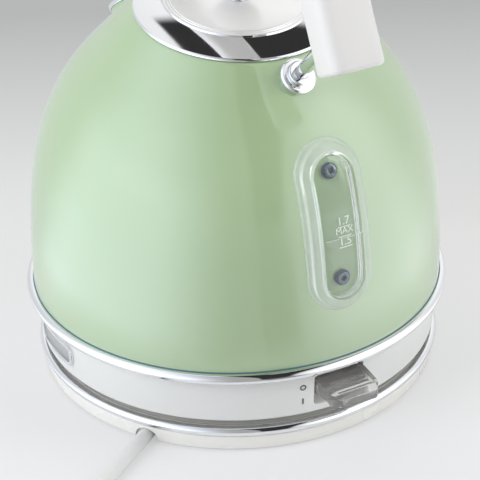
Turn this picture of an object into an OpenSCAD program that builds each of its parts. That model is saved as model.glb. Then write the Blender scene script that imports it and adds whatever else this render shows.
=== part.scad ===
// Cordless electric kettle on a power base.
// The base rests on z = 0 with its axis on Z. The spout points to +Y, and the handle, the water
// gauge and the switch face -Y.

/* [Power base] */
// How far the base wall stands behind the dome's foot
base_inset = 1.7; // [0:0.1:4]
// How much narrower the base is at its lower edge
base_taper = 1; // [0:0.1:3]
// Height of the lower edge above the table
base_edge_z = 1; // [0.5:0.1:2]
// Height of the deck that the kettle stands on
deck_z = 11; // [10:0.5:16]
// Thickness of the deck
deck_t = 1.8; // [1.4:0.1:2]
// Thickness of the base wall
base_wall = 2.4; // [1.6:0.2:3]
// Rise of the hub around the connector above the deck
hub_rise = 3; // [1:0.5:3]
// Radius of the hub
hub_r = 50; // [36:1:52]
// Height of the chrome bead on the base
base_bead_h = 4.4; // [3:0.2:6]
// How far the bead stands out of the base wall
base_bead_out = 1.2; // [0.6:0.2:2.4]
// Thickness of the bottom plate
plate_t = 1.6; // [1.2:0.2:2]
// Radius of a rubber foot
foot_r = 6; // [4:0.5:7]
// Distance of the feet from the axis
foot_ring_r = 78; // [70:1:82]

/* [Connector] */
// Radius of the connector on the base
connector_r = 16; // [14:0.5:17]
// Height of the connector above the deck
connector_h = 15; // [12:0.5:17]
// Radius of the earth pin
earth_pin_r = 4; // [3:0.2:5]
// Middle radius of the ring blade
blade_r = 10.9; // [10:0.1:11.5]
// Thickness of the ring blade
blade_t = 1; // [0.8:0.1:1.2]
// Radius of the control under the heating plate
control_r = 30; // [24:1:34]

/* [Lower housing] */
// How far the white housing stands behind the dome's foot
band_inset = 1.3; // [0.6:0.1:2.4]
// How much narrower the housing is at its lower edge
band_taper = 1.1; // [0:0.1:3]
// Height of the lower edge above the deck
band_gap = 5.3; // [4.5:0.1:8]
// Height of the white housing
band_h = 21.9; // [20:0.1:26]
// Wall of the housing
band_wall = 2.2; // [1.6:0.2:2.6]
// How far the chrome ring stands out of the dome
ring_out = 3.2; // [2:0.2:5]
// Height of the chrome ring
ring_h = 5; // [4:0.2:7]

/* [Dome] */
// Radius of the dome at its foot
dome_foot_r = 96.7; // [88:0.1:106]
// Height of the straight foot of the dome above the chrome ring's leg
dome_foot_h = 3.8; // [3:0.2:6]
// Height over which the dome curves
dome_rise = 112.6; // [106:0.2:120]
// Radius where the curve ends in a straight slope
dome_neck_r = 65.3; // [62:0.1:68]
// Pull of the curve at the foot
dome_foot_pull = 60.7; // [50:0.1:66]
// Pull of the curve at the neck
dome_neck_pull = 33; // [26:0.5:38]
// Thickness of the steel
body_wall = 1; // [0.8:0.1:1.4]
// Thickness of the heating plate
heat_plate_t = 1; // [0.8:0.1:1.5]

/* [Lid] */
// Radius of the lid
lid_r = 46; // [44:0.5:47]
// Tilt of the lid towards the handle
lid_tilt = 8; // [6:0.5:9]
// Shift of the lid towards the handle
lid_shift = 6.4; // [5:0.2:7.5]
// Height of the lid plane above the neck of the dome
lid_rise = 19.6; // [18:0.2:21]
// Radius of the line where the sloping band ends
lid_step_r = 33; // [28:0.5:36]
// Rise of the sloping band
lid_band_rise = 3.4; // [2:0.2:6]
// Rise of the inner disc
lid_crown = 1.7; // [0.5:0.1:3]
// Inner radius of the neck in the body
neck_r = 37; // [35:0.5:38]
// Depth of the neck
neck_depth = 11; // [8:0.5:14]
// Radius of the knob
knob_r = 12; // [9:0.5:14]
// Height of the knob
knob_h = 15; // [12:0.5:18]

/* [Spout] */
// How far the spout reaches beyond the dome's foot
spout_out = 16.2; // [10:0.1:18]
// Radius of the spout's cone at its root
spout_root_r = 21; // [18:0.5:23]
// Depth of the cone's root behind the dome's face
spout_in = 27.6; // [22:0.2:32]
// Height of the cone's root below the neck
spout_drop = 33; // [28:0.2:36]
// Angle of the cone's side to its axis in degrees
spout_narrow = 9.6; // [6:0.2:12]
// Rise of the cone's axis in degrees
spout_rise = 24; // [20:1:28]
// Slant of the mouth in degrees
mouth_slant = 39; // [30:1:48]
// Wall of the spout
spout_wall = 1.4; // [1:0.1:2]
// Width of the chrome lip
lip_w = 2.4; // [1.6:0.2:3.6]

/* [Handle] */
// Height of the top of the handle
handle_top_z = 257.5; // [252:0.5:266]
// Width of the grip
grip_w = 25; // [20:0.5:30]
// Thickness of the grip
grip_t = 20; // [16:0.5:22]
// Corner radius of the grip
grip_round = 6; // [3:0.5:7.5]
// Radius of the arch along its middle
arch_r = 80; // [76:0.5:84]
// Straight length across the top
arch_flat = 39.4; // [34:0.2:44]
// Lean of the ends from upright
tail_lean = 27; // [22:1:32]
// Straight length of the rear end
rear_tail = 25; // [20:0.5:28]
// Straight length of the front end
front_tail = 18; // [16:0.5:20]
// Radius of the chrome rods
rod_r = 3; // [2.5:0.1:4]
// Distance of the rods' feet from the axis
rod_foot_y = 58.8; // [57:0.2:61]
// Depth of a rod in the grip
rod_grip = 11; // [8:0.5:13]
// Radius of the ferrules
ferrule_r = 8; // [6.5:0.25:9]

/* [Water gauge] */
// Width of the gauge
gauge_w = 31.5; // [27:0.5:36]
// Length of the gauge
gauge_l = 76.5; // [70:0.5:82]
// Height of the gauge's middle
gauge_z = 106; // [100:0.5:110]
// Width of the step around the raised middle
gauge_step = 5.3; // [4:0.1:6]
// How far the gauge stands out of the dome
gauge_out = 5.3; // [4:0.1:7]
// Height of the lower water hole
low_hole_z = 83.5; // [80:0.5:86]
// Height of the upper water hole
high_hole_z = 129.3; // [126:0.1:132]
// Radius of the tube through the wall
nozzle_r = 2.3; // [1.8:0.1:2.8]

/* [Switch] */
// Width of the switch opening
slot_w = 25.2; // [20:0.2:30]
// Height of the switch opening
slot_h = 16.2; // [14:0.2:16.4]
// Play between the lever and the opening on each side
slot_play = 0.6; // [0.4:0.1:1]
// How far the lever stands out of the housing
lever_out = 17; // [12:0.5:19]
// Distance of the pivot behind the housing face
pivot_back = 15; // [13:0.5:17]
// Radius of the pivot pin
pivot_r = 1.5; // [1:0.1:2]

/* [Badge] */
// Width of the blank plate on the side
badge_w = 32; // [24:1:40]
// Height of the plate
badge_h = 11.6; // [9:0.2:13]
// How far the plate stands out
badge_out = 1.2; // [0.8:0.1:2]

/* [Cord] */
// Diameter of the mains cord
cord_d = 6.4; // [6:0.1:7]

/* [Hidden] */
$fn = 96;
eps = 0.01;
fit = 0.1;          // gap between pieces that are fixed together
play = 0.3;         // gap between pieces that part
far = 400;

// colours
mint = [0.72, 0.83, 0.68];
white = [0.93, 0.93, 0.92];
chrome = [0.80, 0.81, 0.83];
steel = [0.66, 0.67, 0.69];
black = [0.10, 0.10, 0.11];
brass = [0.80, 0.64, 0.30];
rubber = [0.20, 0.21, 0.22];
clear = [0.85, 0.90, 0.88, 0.45];
smoke = [0.55, 0.54, 0.52, 0.7];

// radii at the foot, and heights from the table up
base_wall_r = dome_foot_r - base_inset;
base_foot_r = base_wall_r - base_taper;
band_top_r = dome_foot_r - band_inset;
band_foot_r = band_top_r - band_taper;
band_z = deck_z + band_gap;
ring_z = band_z + band_h + fit;
leg_t = 0.8;
dome_z = ring_z + leg_t + fit;
curve_z = dome_z + dome_foot_h;
neck_z = curve_z + dome_rise;
plate_z = curve_z + 1;
lid_z = neck_z + lid_rise;
band_mid_z = band_z + band_h / 2 + 1;

// dome outline: a vertical foot, one smooth curve and a slope of 45 degrees
slope = [-sqrt(0.5), sqrt(0.5)];
curve_steps = 30;
slope_len = 46;
p0 = [dome_foot_r, curve_z];
p1 = p0 + [0, dome_foot_pull];
p3 = [dome_neck_r, neck_z];
p2 = p3 - dome_neck_pull * slope;
function curve(t) = pow(1 - t, 3) * p0 + 3 * pow(1 - t, 2) * t * p1 + 3 * (1 - t) * t * t * p2 + pow(t, 3) * p3;
function curve_way(t) = 3 * pow(1 - t, 2) * (p1 - p0) + 6 * (1 - t) * t * (p2 - p1) + 3 * t * t * (p3 - p2);
function out_normal(t) = let (w = curve_way(t) / norm(curve_way(t))) [w[1], -w[0]];
// place on the curve that has the height z
function curve_at(z, low = 0, high = 1, n = 24) =
    n == 0 ? (low + high) / 2
           : curve((low + high) / 2)[1] < z ? curve_at(z, (low + high) / 2, high, n - 1)
                                            : curve_at(z, low, (low + high) / 2, n - 1);
function dome_outline(out, foot_z) = concat(
    [[dome_foot_r + out, foot_z]],
    [for (i = [0:curve_steps]) curve(i / curve_steps) + out * out_normal(i / curve_steps)],
    [p3 + slope_len * slope + out * [-slope[0], slope[1]]]);

// the dome's outer shape, grown outwards by out, closed down to foot_z
module dome_solid(out, foot_z = dome_z) {
    points = dome_outline(out, foot_z);
    rotate_extrude($fn = 180)
        polygon(concat([[0, foot_z]], points, [[0, points[len(points) - 1][1]]]));
}

module rounded_rect(w, h, r) {
    square([w - 2 * r, h], center = true);
    square([w, h - 2 * r], center = true);
    for (x = [-1, 1], y = [-1, 1])
        translate([x * (w / 2 - r), y * (h / 2 - r)]) circle(r = r, $fn = 48);
}

module stadium(w, l) {
    square([w, l - w], center = true);
    for (y = [-1, 1]) translate([0, y * (l - w) / 2]) circle(r = w / 2, $fn = 96);
}

module ring(r_out, r_in, h) {
    difference() {
        cylinder(r = r_out, h = h);
        translate([0, 0, -1]) cylinder(r = r_in, h = h + 2);
    }
}

module polar(r, angles) {
    for (a = angles) rotate(a) translate([r, 0, 0]) children();
}

// ---- power base ----
bead_z = deck_z + 1.8 - base_bead_h;
base_in_r = base_foot_r - base_wall;
foot_angles = [20, 110, 200, 290];
base_screw_angles = [65, 155, 245, 335];
base_screw_r = base_foot_r - 14;
cord_angle = 215.5;
channel_w = 12;
notch_r = 6;
cord_r = cord_d / 2;

module base_housing() color(white) difference() {
    union() {
        rotate_extrude($fn = 180) polygon([
            [base_foot_r, base_edge_z], [base_wall_r, bead_z - fit], [base_wall_r - base_wall, bead_z - fit],
            [base_wall_r - base_wall, deck_z], [base_wall_r - base_wall - 1.6, deck_z + 0.9],
            [base_wall_r - base_wall - 3.4, deck_z], [hub_r + 4, deck_z], [hub_r, deck_z + hub_rise],
            [connector_r + play, deck_z + hub_rise], [connector_r + play, deck_z + hub_rise - deck_t - 0.6],
            [hub_r - 1, deck_z + hub_rise - deck_t - 0.6], [hub_r + 3, deck_z - deck_t],
            [base_in_r, deck_z - deck_t], [base_in_r, base_edge_z]]);
        polar(base_screw_r, base_screw_angles) translate([0, 0, plate_top]) cylinder(r = boss_r, h = deck_z - plate_top - 1, $fn = 48);
    }
    polar(base_screw_r, base_screw_angles) translate([0, 0, plate_top - 1]) cylinder(r = screw_r + fit, h = screw_l + 1, $fn = 32);
    rotate(cord_angle) translate([base_in_r - 4, 0, base_edge_z]) rotate([0, 90, 0]) cylinder(r = notch_r, h = 20);
}

module base_trim_ring() color(chrome) rotate_extrude($fn = 180) translate([0, bead_z]) union() {
    translate([base_wall_r - base_wall + fit, 0]) square([base_wall - fit, base_bead_h]);
    intersection() {
        translate([base_wall_r - base_bead_h / 2 + base_bead_out, base_bead_h / 2]) circle(r = base_bead_h / 2, $fn = 64);
        translate([base_wall_r - base_bead_h / 4, 0]) square([base_bead_h, base_bead_h]);
    }
}

plate_bottom = base_edge_z + 0.6;
plate_top = plate_bottom + plate_t + fit;

module base_bottom_plate() color(white) difference() {
    translate([0, 0, plate_bottom]) cylinder(r = base_in_r - play, h = plate_t);
    polar(base_screw_r, base_screw_angles) translate([0, 0, plate_bottom - 1]) cylinder(r = screw_r + 5 * fit, h = plate_t + 2, $fn = 32);
    rotate(cord_angle) translate([sleeve_in - 4, -channel_w / 2, 0]) cube([60, channel_w, 20]);
}

module base_feet() color(rubber) polar(foot_ring_r, foot_angles)
    cylinder(r = foot_r, h = plate_bottom - eps, $fn = 64);

screw_head_r = 2.8;
screw_head_h = 1;
screw_r = 1.2;
screw_l = 5;
boss_r = 3.4;
module screw() {
    difference() {
        cylinder(r = screw_head_r, h = screw_head_h, $fn = 48);
        for (a = [0, 90]) rotate(a) cube([screw_head_r * 1.2, screw_head_r / 4, screw_head_h], center = true);
    }
    translate([0, 0, screw_head_h]) cylinder(r = screw_r, h = screw_l, $fn = 32);
}

module base_screws() color(steel) polar(base_screw_r, base_screw_angles)
    translate([0, 0, plate_bottom - screw_head_h - eps]) screw();

connector_z = deck_z + hub_rise - deck_t - 0.6 - fit;
connector_top = deck_z + connector_h;
groove_in = blade_r - blade_t / 2 - 0.9;
groove_out = blade_r + blade_t / 2 + 0.9;
well_r = earth_pin_r + 0.7;

module base_connector() color(black) difference() {
    union() {
        translate([0, 0, connector_z - 4]) cylinder(r = connector_r + 4, h = 4);
        translate([0, 0, connector_z - 4]) cylinder(r = connector_r, h = connector_top - connector_z + 3);
        translate([0, 0, connector_top - 1]) cylinder(r = connector_r - 1, h = 1);
    }
    translate([0, 0, deck_z + 4]) ring(groove_out, groove_in, 30);
    translate([0, 0, deck_z + 2]) cylinder(r = well_r, h = 30);
}

module base_contacts() color(brass) {
    translate([0, 0, deck_z + 4 + eps]) ring(groove_out - 0.05, groove_out - 0.65, 4);
    translate([0, 0, deck_z + 2 + eps]) ring(well_r - 0.05, well_r - 0.55, 4);
}

sleeve_in = base_foot_r - 32;
sleeve_out = base_foot_r - 4;
sleeve_z = [4.9, 3.6];
sleeve_r = [4, 3.4];

module cord_sleeve() color(white) rotate(cord_angle) translate([sleeve_in, 0, sleeve_z[0]])
    rotate([0, 90 + atan((sleeve_z[0] - sleeve_z[1]) / (sleeve_out - sleeve_in)), 0])
        cylinder(r1 = sleeve_r[0], r2 = sleeve_r[1], h = sleeve_out - sleeve_in);

module base_wires() for (i = [-1, 0, 1])
    color([["saddlebrown", "yellowgreen", "royalblue"][i + 1]][0])
        rotate(cord_angle) translate([connector_r + 4 + fit, i * 2.4, connector_z - 2.2])
            rotate([0, 90 + atan((connector_z - 2.2 - sleeve_z[0]) / (sleeve_in - connector_r - 4)), 0])
                cylinder(r = 1, h = sleeve_in - connector_r - 4 - 0.6, $fn = 24);

// ---- cord: its route runs from the sleeve to a coil beside the base ----
cord_route = [[-73.3, -52.3, 3.6], [-81.4, -58.1, 3.4], [-89.5, -63.9, 3.3], [-97.7, -69.7, 3.3],
    [-105.8, -75.5, 3.3], [-114, -82, 3.3], [-122.4, -89.4, 3.3], [-130.6, -97.8, 3.3],
    [-138, -107, 3.3], [-144.6, -117, 3.3], [-150.4, -128, 3.3], [-155, -139.6, 3.3],
    [-158.4, -151.6, 3.3], [-160.4, -164, 3.3], [-161.2, -172, 3.3]];
tail_route = [[-121, -205, 9.5], [-114, -205.8, 11], [-107, -207.3, 13.7], [-101, -209, 16.5],
    [-96, -210, 18.7], [-91, -210, 18.7]];
coil_at = [-125, -172];
coil_mid_r = 33;
coil_high = cord_d * (1 + sqrt(3) / 2);
plug_at = [-91, -210, 18.7];
plug_r = 18.6;

function along(p, i) = i == 0 ? p[1] - p[0] : i == len(p) - 1 ? p[i] - p[i - 1] : p[i + 1] - p[i - 1];
function side(d) = let (s = cross([0, 0, 1], d)) s / norm(s);
// a tube of radius r along the points p
module tube(p, r, sides = 10) {
    rings = [for (i = [0:len(p) - 1]) let (d = along(p, i) / norm(along(p, i)), s = side(d), u = cross(d, s))
        for (k = [0:sides - 1]) p[i] + r * (cos(360 * k / sides) * s + sin(360 * k / sides) * u)];
    n = len(p);
    walls = [for (i = [0:n - 2], k = [0:sides - 1])
        [i * sides + k, i * sides + (k + 1) % sides, (i + 1) * sides + (k + 1) % sides, (i + 1) * sides + k]];
    ends = [[for (k = [sides - 1:-1:0]) k], [for (k = [0:sides - 1]) (n - 1) * sides + k]];
    polyhedron(points = rings, faces = [for (f = concat(walls, ends)) [for (j = [len(f) - 1:-1:0]) f[j]]], convexity = 6);
}

module cord() color(white) tube(cord_route, cord_r);
module cord_tail() color(white) tube(tail_route, cord_r);

module coil_section(out) {
    for (x = [-1, 1]) translate([x * cord_r, cord_r]) circle(r = cord_r + out, $fn = 48);
    translate([0, coil_high - cord_r]) circle(r = cord_r + out, $fn = 48);
    polygon([[-cord_r, cord_r], [cord_r, cord_r], [0, coil_high - cord_r]]);
    translate([-cord_r, -out]) square([cord_d, cord_r + out]);
}

module cord_coil() color(white) translate([coil_at[0], coil_at[1], 0.1])
    rotate_extrude($fn = 96) translate([coil_mid_r, 0]) coil_section(0);

tie_angle = 20;
tie_w = 6;
tie_t = 0.8;
module coil_tie() color(rubber) translate([coil_at[0], coil_at[1], 0.1]) rotate(tie_angle)
    translate([coil_mid_r, 0, 0]) rotate([90, 0, 0]) translate([0, 0, -tie_w / 2]) linear_extrude(tie_w) difference() {
        coil_section(tie_t + play);
        coil_section(play);
        translate([-far / 2, -far - 0.05]) square([far, far]);
    }

module plug_body() color(white) translate(plug_at) rotate([90, 0, 90]) {
    translate([0, 0, fit]) cylinder(r1 = cord_r + 0.5, r2 = 6.2, h = 22);
    translate([0, 0, 22]) cylinder(r1 = 9, r2 = 15, h = 12);
    translate([0, 0, 34]) cylinder(r = plug_r, h = 6);
    translate([0, 0, 40]) difference() {
        cylinder(r = plug_r - 0.9, h = 20);
        for (x = [-1, 1]) translate([x * 21.6, 0, -1]) cylinder(r = 5, h = 22, $fn = 48);
    }
}

module plug_pins() color(steel) translate(plug_at) rotate([90, 0, 90]) for (x = [-1, 1]) translate([x * 9.5, 0, 60 + eps]) {
    cylinder(r = 2.4, h = 18, $fn = 48);
    translate([0, 0, 18]) cylinder(r1 = 2.4, r2 = 1.5, h = 1, $fn = 48);
}

// ---- lower housing ----
flange_t = 1.5;
flange_z = band_z + 2.2;
flange_in_r = band_foot_r - 12.3;
cover_screw_r = band_foot_r - 8.7;
cover_screw_angles = [30, 150, 250];
slot_z = flange_z + flange_t + slot_h / 2;
pivot_y = -(band_top_r - pivot_back);
pivot_z = slot_z - 0.2;

function band_r(z) = band_foot_r + (band_top_r - band_foot_r) * (z - band_z) / band_h;

slot_round = 2;
slot_run = 15;
module slot_block(w, h, r, front, back) translate([0, -front, slot_z]) rotate([-90, 0, 0])
    linear_extrude(front - back) rounded_rect(w, h, r);

module lower_housing() color(white) difference() {
    union() {
        rotate_extrude($fn = 180) polygon([
            [band_foot_r - 0.5, band_z], [band_foot_r, band_z + 0.5], [band_top_r, band_z + band_h],
            [band_top_r - band_wall, band_z + band_h], [band_foot_r - band_wall, flange_z + flange_t],
            [flange_in_r, flange_z + flange_t], [flange_in_r, flange_z], [band_foot_r - band_wall, flange_z],
            [band_foot_r - band_wall, band_z]]);
        polar(cover_screw_r, cover_screw_angles) translate([0, 0, flange_z]) cylinder(r = boss_r, h = screw_l + 2, $fn = 48);
    }
    slot_block(slot_w, slot_h, slot_round, band_top_r + slot_run, band_foot_r - band_wall - 1);
    polar(cover_screw_r, cover_screw_angles) translate([0, 0, flange_z - 1]) cylinder(r = screw_r + fit, h = screw_l + 1, $fn = 32);
}

cover_r = band_foot_r - band_wall - play;
cover_z = flange_z - fit - 1.5;
rest_in = hub_r + 10;
rest_out = rest_in + 10;

module bottom_cover() color(white) difference() {
    rotate_extrude($fn = 180) polygon([
        [cover_r, cover_z], [rest_out + 4, cover_z], [rest_out, deck_z + play], [rest_in, deck_z + play],
        [rest_in - 4, deck_z + hub_rise + 0.9], [skirt_r + 2.5, deck_z + hub_rise + 0.9],
        [skirt_r + 2.5, deck_z + hub_rise + 2.4], [rest_in - 3.4, deck_z + hub_rise + 2.4],
        [rest_in + 0.6, deck_z + play + 1.5], [rest_out - 0.6, deck_z + play + 1.5],
        [rest_out + 3.4, cover_z + 1.5], [cover_r, cover_z + 1.5]]);
    polar(cover_screw_r, cover_screw_angles) translate([0, 0, cover_z - 1]) cylinder(r = screw_r + 5 * fit, h = 5, $fn = 32);
}

module housing_screws() color(steel) polar(cover_screw_r, cover_screw_angles)
    translate([0, 0, cover_z - screw_head_h - eps]) screw();

module body_ring() color(chrome) rotate_extrude($fn = 180) translate([0, ring_z]) union() {
    translate([band_top_r - band_wall + 0.4, 0]) square([dome_foot_r + 1 - band_top_r + band_wall, leg_t]);
    polygon(concat([[dome_foot_r + fit, 0]],
        [for (a = [-90:7.5:90]) [dome_foot_r + fit + 0.8 + (ring_out - 0.8) * cos(a), ring_h / 2 * (1 + sin(a))]],
        [[dome_foot_r + fit, ring_h]]));
}

badge_z = band_mid_z - 0.2;
band_in = 25;
module badge_block(w, h, r) translate([-band_top_r - 15, 0, badge_z]) rotate([90, 0, 90])
    linear_extrude(band_in) rounded_rect(w, h, r);

// the housing's outer face grown by out, between its two edges
module band_face(out) rotate_extrude($fn = 180) polygon([
    [band_foot_r - band_in, band_z + 1], [band_r(band_z + 1) + out, band_z + 1],
    [band_r(ring_z - 0.5) + out, ring_z - 0.5], [band_foot_r - band_in, ring_z - 0.5]]);

module badge_frame() color(chrome) difference() {
    intersection() {
        badge_block(badge_w, badge_h, 4);
        band_face(badge_out);
    }
    band_face(fit);
    badge_block(badge_w - 3.6, badge_h - 3.6, 2.4);
}

module badge_plate() color(steel) difference() {
    intersection() {
        badge_block(badge_w - 3.6 - 2 * fit, badge_h - 3.6 - 2 * fit, 2.3);
        band_face(badge_out / 2);
    }
    band_face(fit);
}

mark_angle = 10.8;
mark_h = 3;
mark_line = 0.65;
mark_apart = 7.4;
module switch_marks() color(rubber) difference() {
    intersection() {
        rotate(-mark_angle) for (m = [-1, 1]) translate([0, -band_foot_r + mark_h, band_mid_z - 1 + m * mark_apart / 2])
            rotate([90, 0, 0]) if (m == 1) ring(mark_h / 2, mark_h / 2 - mark_line, 3 * mark_h);
                else translate([-mark_line / 2, -mark_h / 2, 0]) cube([mark_line, mark_h, 3 * mark_h]);
        band_face(0.25);
    }
    band_face(0.02);
}

// ---- switch ----
cage_t = 1.2;
cage_back = -pivot_y - 5;
cage_r = band_foot_r - band_wall - play;
lever_w = slot_w - 2 * slot_play;
tip_y = band_top_r + lever_out;

module switch_cage() color(white) difference() {
    intersection() {
        translate([-slot_w / 2 - cage_t, -cage_r, flange_z + flange_t + fit])
            cube([slot_w + 2 * cage_t, cage_r - cage_back, slot_h + cage_t - fit]);
        cylinder(r = cage_r, h = far);
    }
    translate([-slot_w / 2, -far, 0]) cube([slot_w, 2 * far, slot_z + slot_h / 2]);
    translate([-far, pivot_y, pivot_z]) rotate([0, 90, 0]) cylinder(r = pivot_r + 0.02, h = 2 * far, $fn = 48);
}

module switch_pin() color(steel) translate([-slot_w / 2 - cage_t, pivot_y, pivot_z])
    rotate([0, 90, 0]) cylinder(r = pivot_r, h = slot_w + 2 * cage_t, $fn = 48);

// side outline of the lever as [distance from the axis, height above the pivot]
module lever_outline() polygon([
    [-pivot_y - 4, -3.6], [-pivot_y - 4, 5], [-pivot_y + 4, 6.4], [band_top_r + 1, 6.2],
    [tip_y - 3.9, 5], [tip_y - 1.2, 3.4], [tip_y, 1.1], [tip_y - 1, -0.9],
    [tip_y - 3.8, -1.3], [tip_y - 9.4, 0], [band_top_r + 0.6, -0.8], [-pivot_y + 4, -3.6]]);

module switch_lever() color(smoke) difference() {
    translate([-lever_w / 2, 0, pivot_z]) rotate([90, 0, -90]) mirror([0, 0, 1]) linear_extrude(lever_w) lever_outline();
    translate([-far, pivot_y, pivot_z]) rotate([0, 90, 0]) cylinder(r = pivot_r + 0.08, h = 2 * far, $fn = 48);
    for (i = [0:3]) translate([-lever_w / 2 + 3.5, -tip_y + 5 + 2.6 * i, pivot_z + 5.6])
        rotate([0, 90, 0]) cylinder(r = 0.7, h = lever_w - 7, $fn = 24);
}

lamp_r = 2.5;
lamp_z = plate_z - 17;
arm_end = -pivot_y - 8;

module indicator_lamp() color([1, 0.55, 0.3]) translate([0, -arm_end - 2.4, lamp_z])
    rotate([-90, 0, 0]) cylinder(r = lamp_r, h = 7, $fn = 48);

// ---- heating ----
skirt_r = connector_r + 3.5;
skirt_z = deck_z + hub_rise + 1.4;
spreader_r = control_r * 2;
spreader_t = 2.9;
control_top = plate_z - spreader_t - 2 * fit;
control_z = connector_top + 3;
element_r = spreader_r - 14;
element_tube = 3.4;
steam_at = [30, -60];
steam_r = 4;

module heating_plate() color(steel) difference() {
    translate([0, 0, dome_z + fit]) cylinder(r = dome_foot_r - body_wall - 2 * fit, h = plate_z + heat_plate_t - dome_z - fit, $fn = 180);
    translate([0, 0, dome_z - 1]) cylinder(r = dome_foot_r - body_wall - 2 * fit - 1.2, h = plate_z - dome_z + 1, $fn = 180);
    translate([steam_at[0], steam_at[1], 0]) cylinder(r = steam_r + fit, h = far, $fn = 48);
}

module plate_seal() color(rubber) translate([0, 0, plate_z + heat_plate_t + fit])
    ring(dome_foot_r - body_wall - fit, dome_foot_r - body_wall - 2.4, 1.6);

module heat_spreader() color(steel) translate([0, 0, plate_z - spreader_t - fit]) cylinder(r = spreader_r, h = spreader_t);

module heating_element() color(steel) difference() {
    translate([0, 0, control_top - element_tube]) rotate_extrude() translate([element_r, 0]) circle(r = element_tube - fit, $fn = 48);
    translate([-element_tube - 3, -element_r - 10, 0]) cube([2 * element_tube + 6, 20, far]);
}

module thermostat_control() color(black) difference() {
    union() {
        translate([0, 0, control_z]) cylinder(r = control_r, h = control_top - control_z);
        translate([0, 0, skirt_z]) cylinder(r = skirt_r, h = control_z - skirt_z + 1);
        translate([-7, -arm_end, lamp_z - 3.5]) cube([14, arm_end, 7]);
    }
    translate([0, 0, skirt_z - 1]) cylinder(r = connector_r + 1, h = connector_top + 1.5 - skirt_z + 1);
    translate([0, -arm_end - 1, lamp_z]) rotate([-90, 0, 0]) cylinder(r = lamp_r + 0.05, h = 7, $fn = 48);
}

module kettle_contacts() color(brass) {
    translate([0, 0, deck_z + 5]) cylinder(r = earth_pin_r, h = connector_top + 1.5 - deck_z - 5 - eps, $fn = 64);
    translate([0, 0, deck_z + 6]) ring(blade_r + blade_t / 2, blade_r - blade_t / 2, connector_top + 1.5 - deck_z - 6 - eps);
}

steam_top = 138;
module steam_tube() color(white) translate([steam_at[0], steam_at[1], 0]) difference() {
    union() {
        translate([0, 0, plate_z - 5]) cylinder(r = steam_r, h = steam_top - plate_z + 5, $fn = 48);
        translate([0, 0, plate_z + heat_plate_t + fit]) cylinder(r = steam_r + 3, h = 1.4, $fn = 48);
    }
    translate([0, 0, plate_z - 6]) cylinder(r = steam_r - 1, h = far, $fn = 48);
}

// ---- dome ----
module at_lid() translate([0, -lid_shift, lid_z]) rotate([lid_tilt, 0, 0]) children();
// outward frame on the dome's slope, at the foot of a rod: side is -1 for the rear, 1 for the front
module at_rod(side) translate([0, side * rod_foot_y, neck_z + dome_neck_r - rod_foot_y])
    rotate([-side * 45, 0, 0]) children();
// outward frame on the dome at the gauge's side, at height z
module at_hole(z) translate([0, -curve(curve_at(z))[0], z])
    rotate([90 - asin(out_normal(curve_at(z))[1]), 0, 0]) children();

cut_gap = 0.4;
module body_shell() color(mint) difference() {
    dome_solid(0);
    dome_solid(-body_wall, dome_z - 1);
    at_lid() translate([0, 0, -cut_gap]) cylinder(r = 90, h = 80);
    spout_cone(-spout_wall);
    for (s = [-1, 1]) at_rod(s) translate([0, 0, -6]) cylinder(r = rod_r + 0.1, h = 12, $fn = 48);
    for (z = [low_hole_z, high_hole_z]) at_hole(z) translate([0, 0, -6]) cylinder(r = nozzle_r + 0.1, h = 12, $fn = 48);
}

shelf_h = -2.6;
module mouth_ring() color(steel) difference() {
    intersection() {
        at_lid() rotate_extrude($fn = 180) polygon([
            [neck_r, shelf_h - neck_depth], [neck_r, shelf_h], [70, shelf_h], [70, shelf_h - 1.2],
            [neck_r + 1.2, shelf_h - 1.2], [neck_r + 1.2, shelf_h - neck_depth]]);
        dome_solid(-body_wall - fit);
    }
    at_rod(-1) translate([0, 0, -8]) cylinder(r = nut_r + play, h = 10, $fn = 64);
}

// ---- spout ----
spout_z = neck_z - spout_drop;
spout_y = curve(curve_at(spout_z))[0] - spout_in;
spout_reach = dome_foot_r + spout_out;
spout_len = (spout_reach - spout_y) * 1.2;
spout_taper = tan(spout_narrow);
// the lowest line of the cone gives the tip of the beak at the spout's reach
under_y = spout_y + spout_root_r * sin(spout_rise);
under_z = spout_z - spout_root_r * cos(spout_rise);
under_rise = spout_rise + spout_narrow;
tip_z = under_z + (spout_reach - under_y) * tan(under_rise);

module spout_cone(out) translate([0, spout_y, spout_z]) rotate([spout_rise - 90, 0, 0])
    cylinder(r1 = spout_root_r + out, r2 = spout_root_r - spout_len * spout_taper + out, h = spout_len);

// the half space above the mouth, dropped by drop
module above_mouth(drop) translate([0, spout_reach, tip_z]) rotate([-mouth_slant, 0, 0])
    translate([-50, -90, -drop]) cube([100, 180, 60]);

module spout() color(mint) difference() {
    spout_cone(-0.8);
    spout_cone(-spout_wall - 0.8);
    dome_solid(0.05);
    above_mouth(0.6);
}

module spout_lip() color(chrome) difference() {
    spout_cone(0);
    spout_cone(-0.75);
    dome_solid(0.5);
    above_mouth(0);
    difference() {
        translate([-100, -100, 0]) cube([200, 300, far]);
        above_mouth(lip_w);
    }
}

// ---- filter ----
filter_lean = 30;
filter_w = 38;
filter_l = 42;
filter_t = 2.4;
filter_round = 4;
filter_border = 3;
rail_t = 1.6;
duct_wall = 2;
duct_l = 26;
stop_w = 24;
holder_w = filter_w + 2 * (play + rail_t);
filter_along = 8.6;
module at_filter() translate([0, spout_y + filter_along * cos(spout_rise), spout_z + filter_along * sin(spout_rise)])
    rotate([filter_lean - 90, 0, 0]) children();

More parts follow.
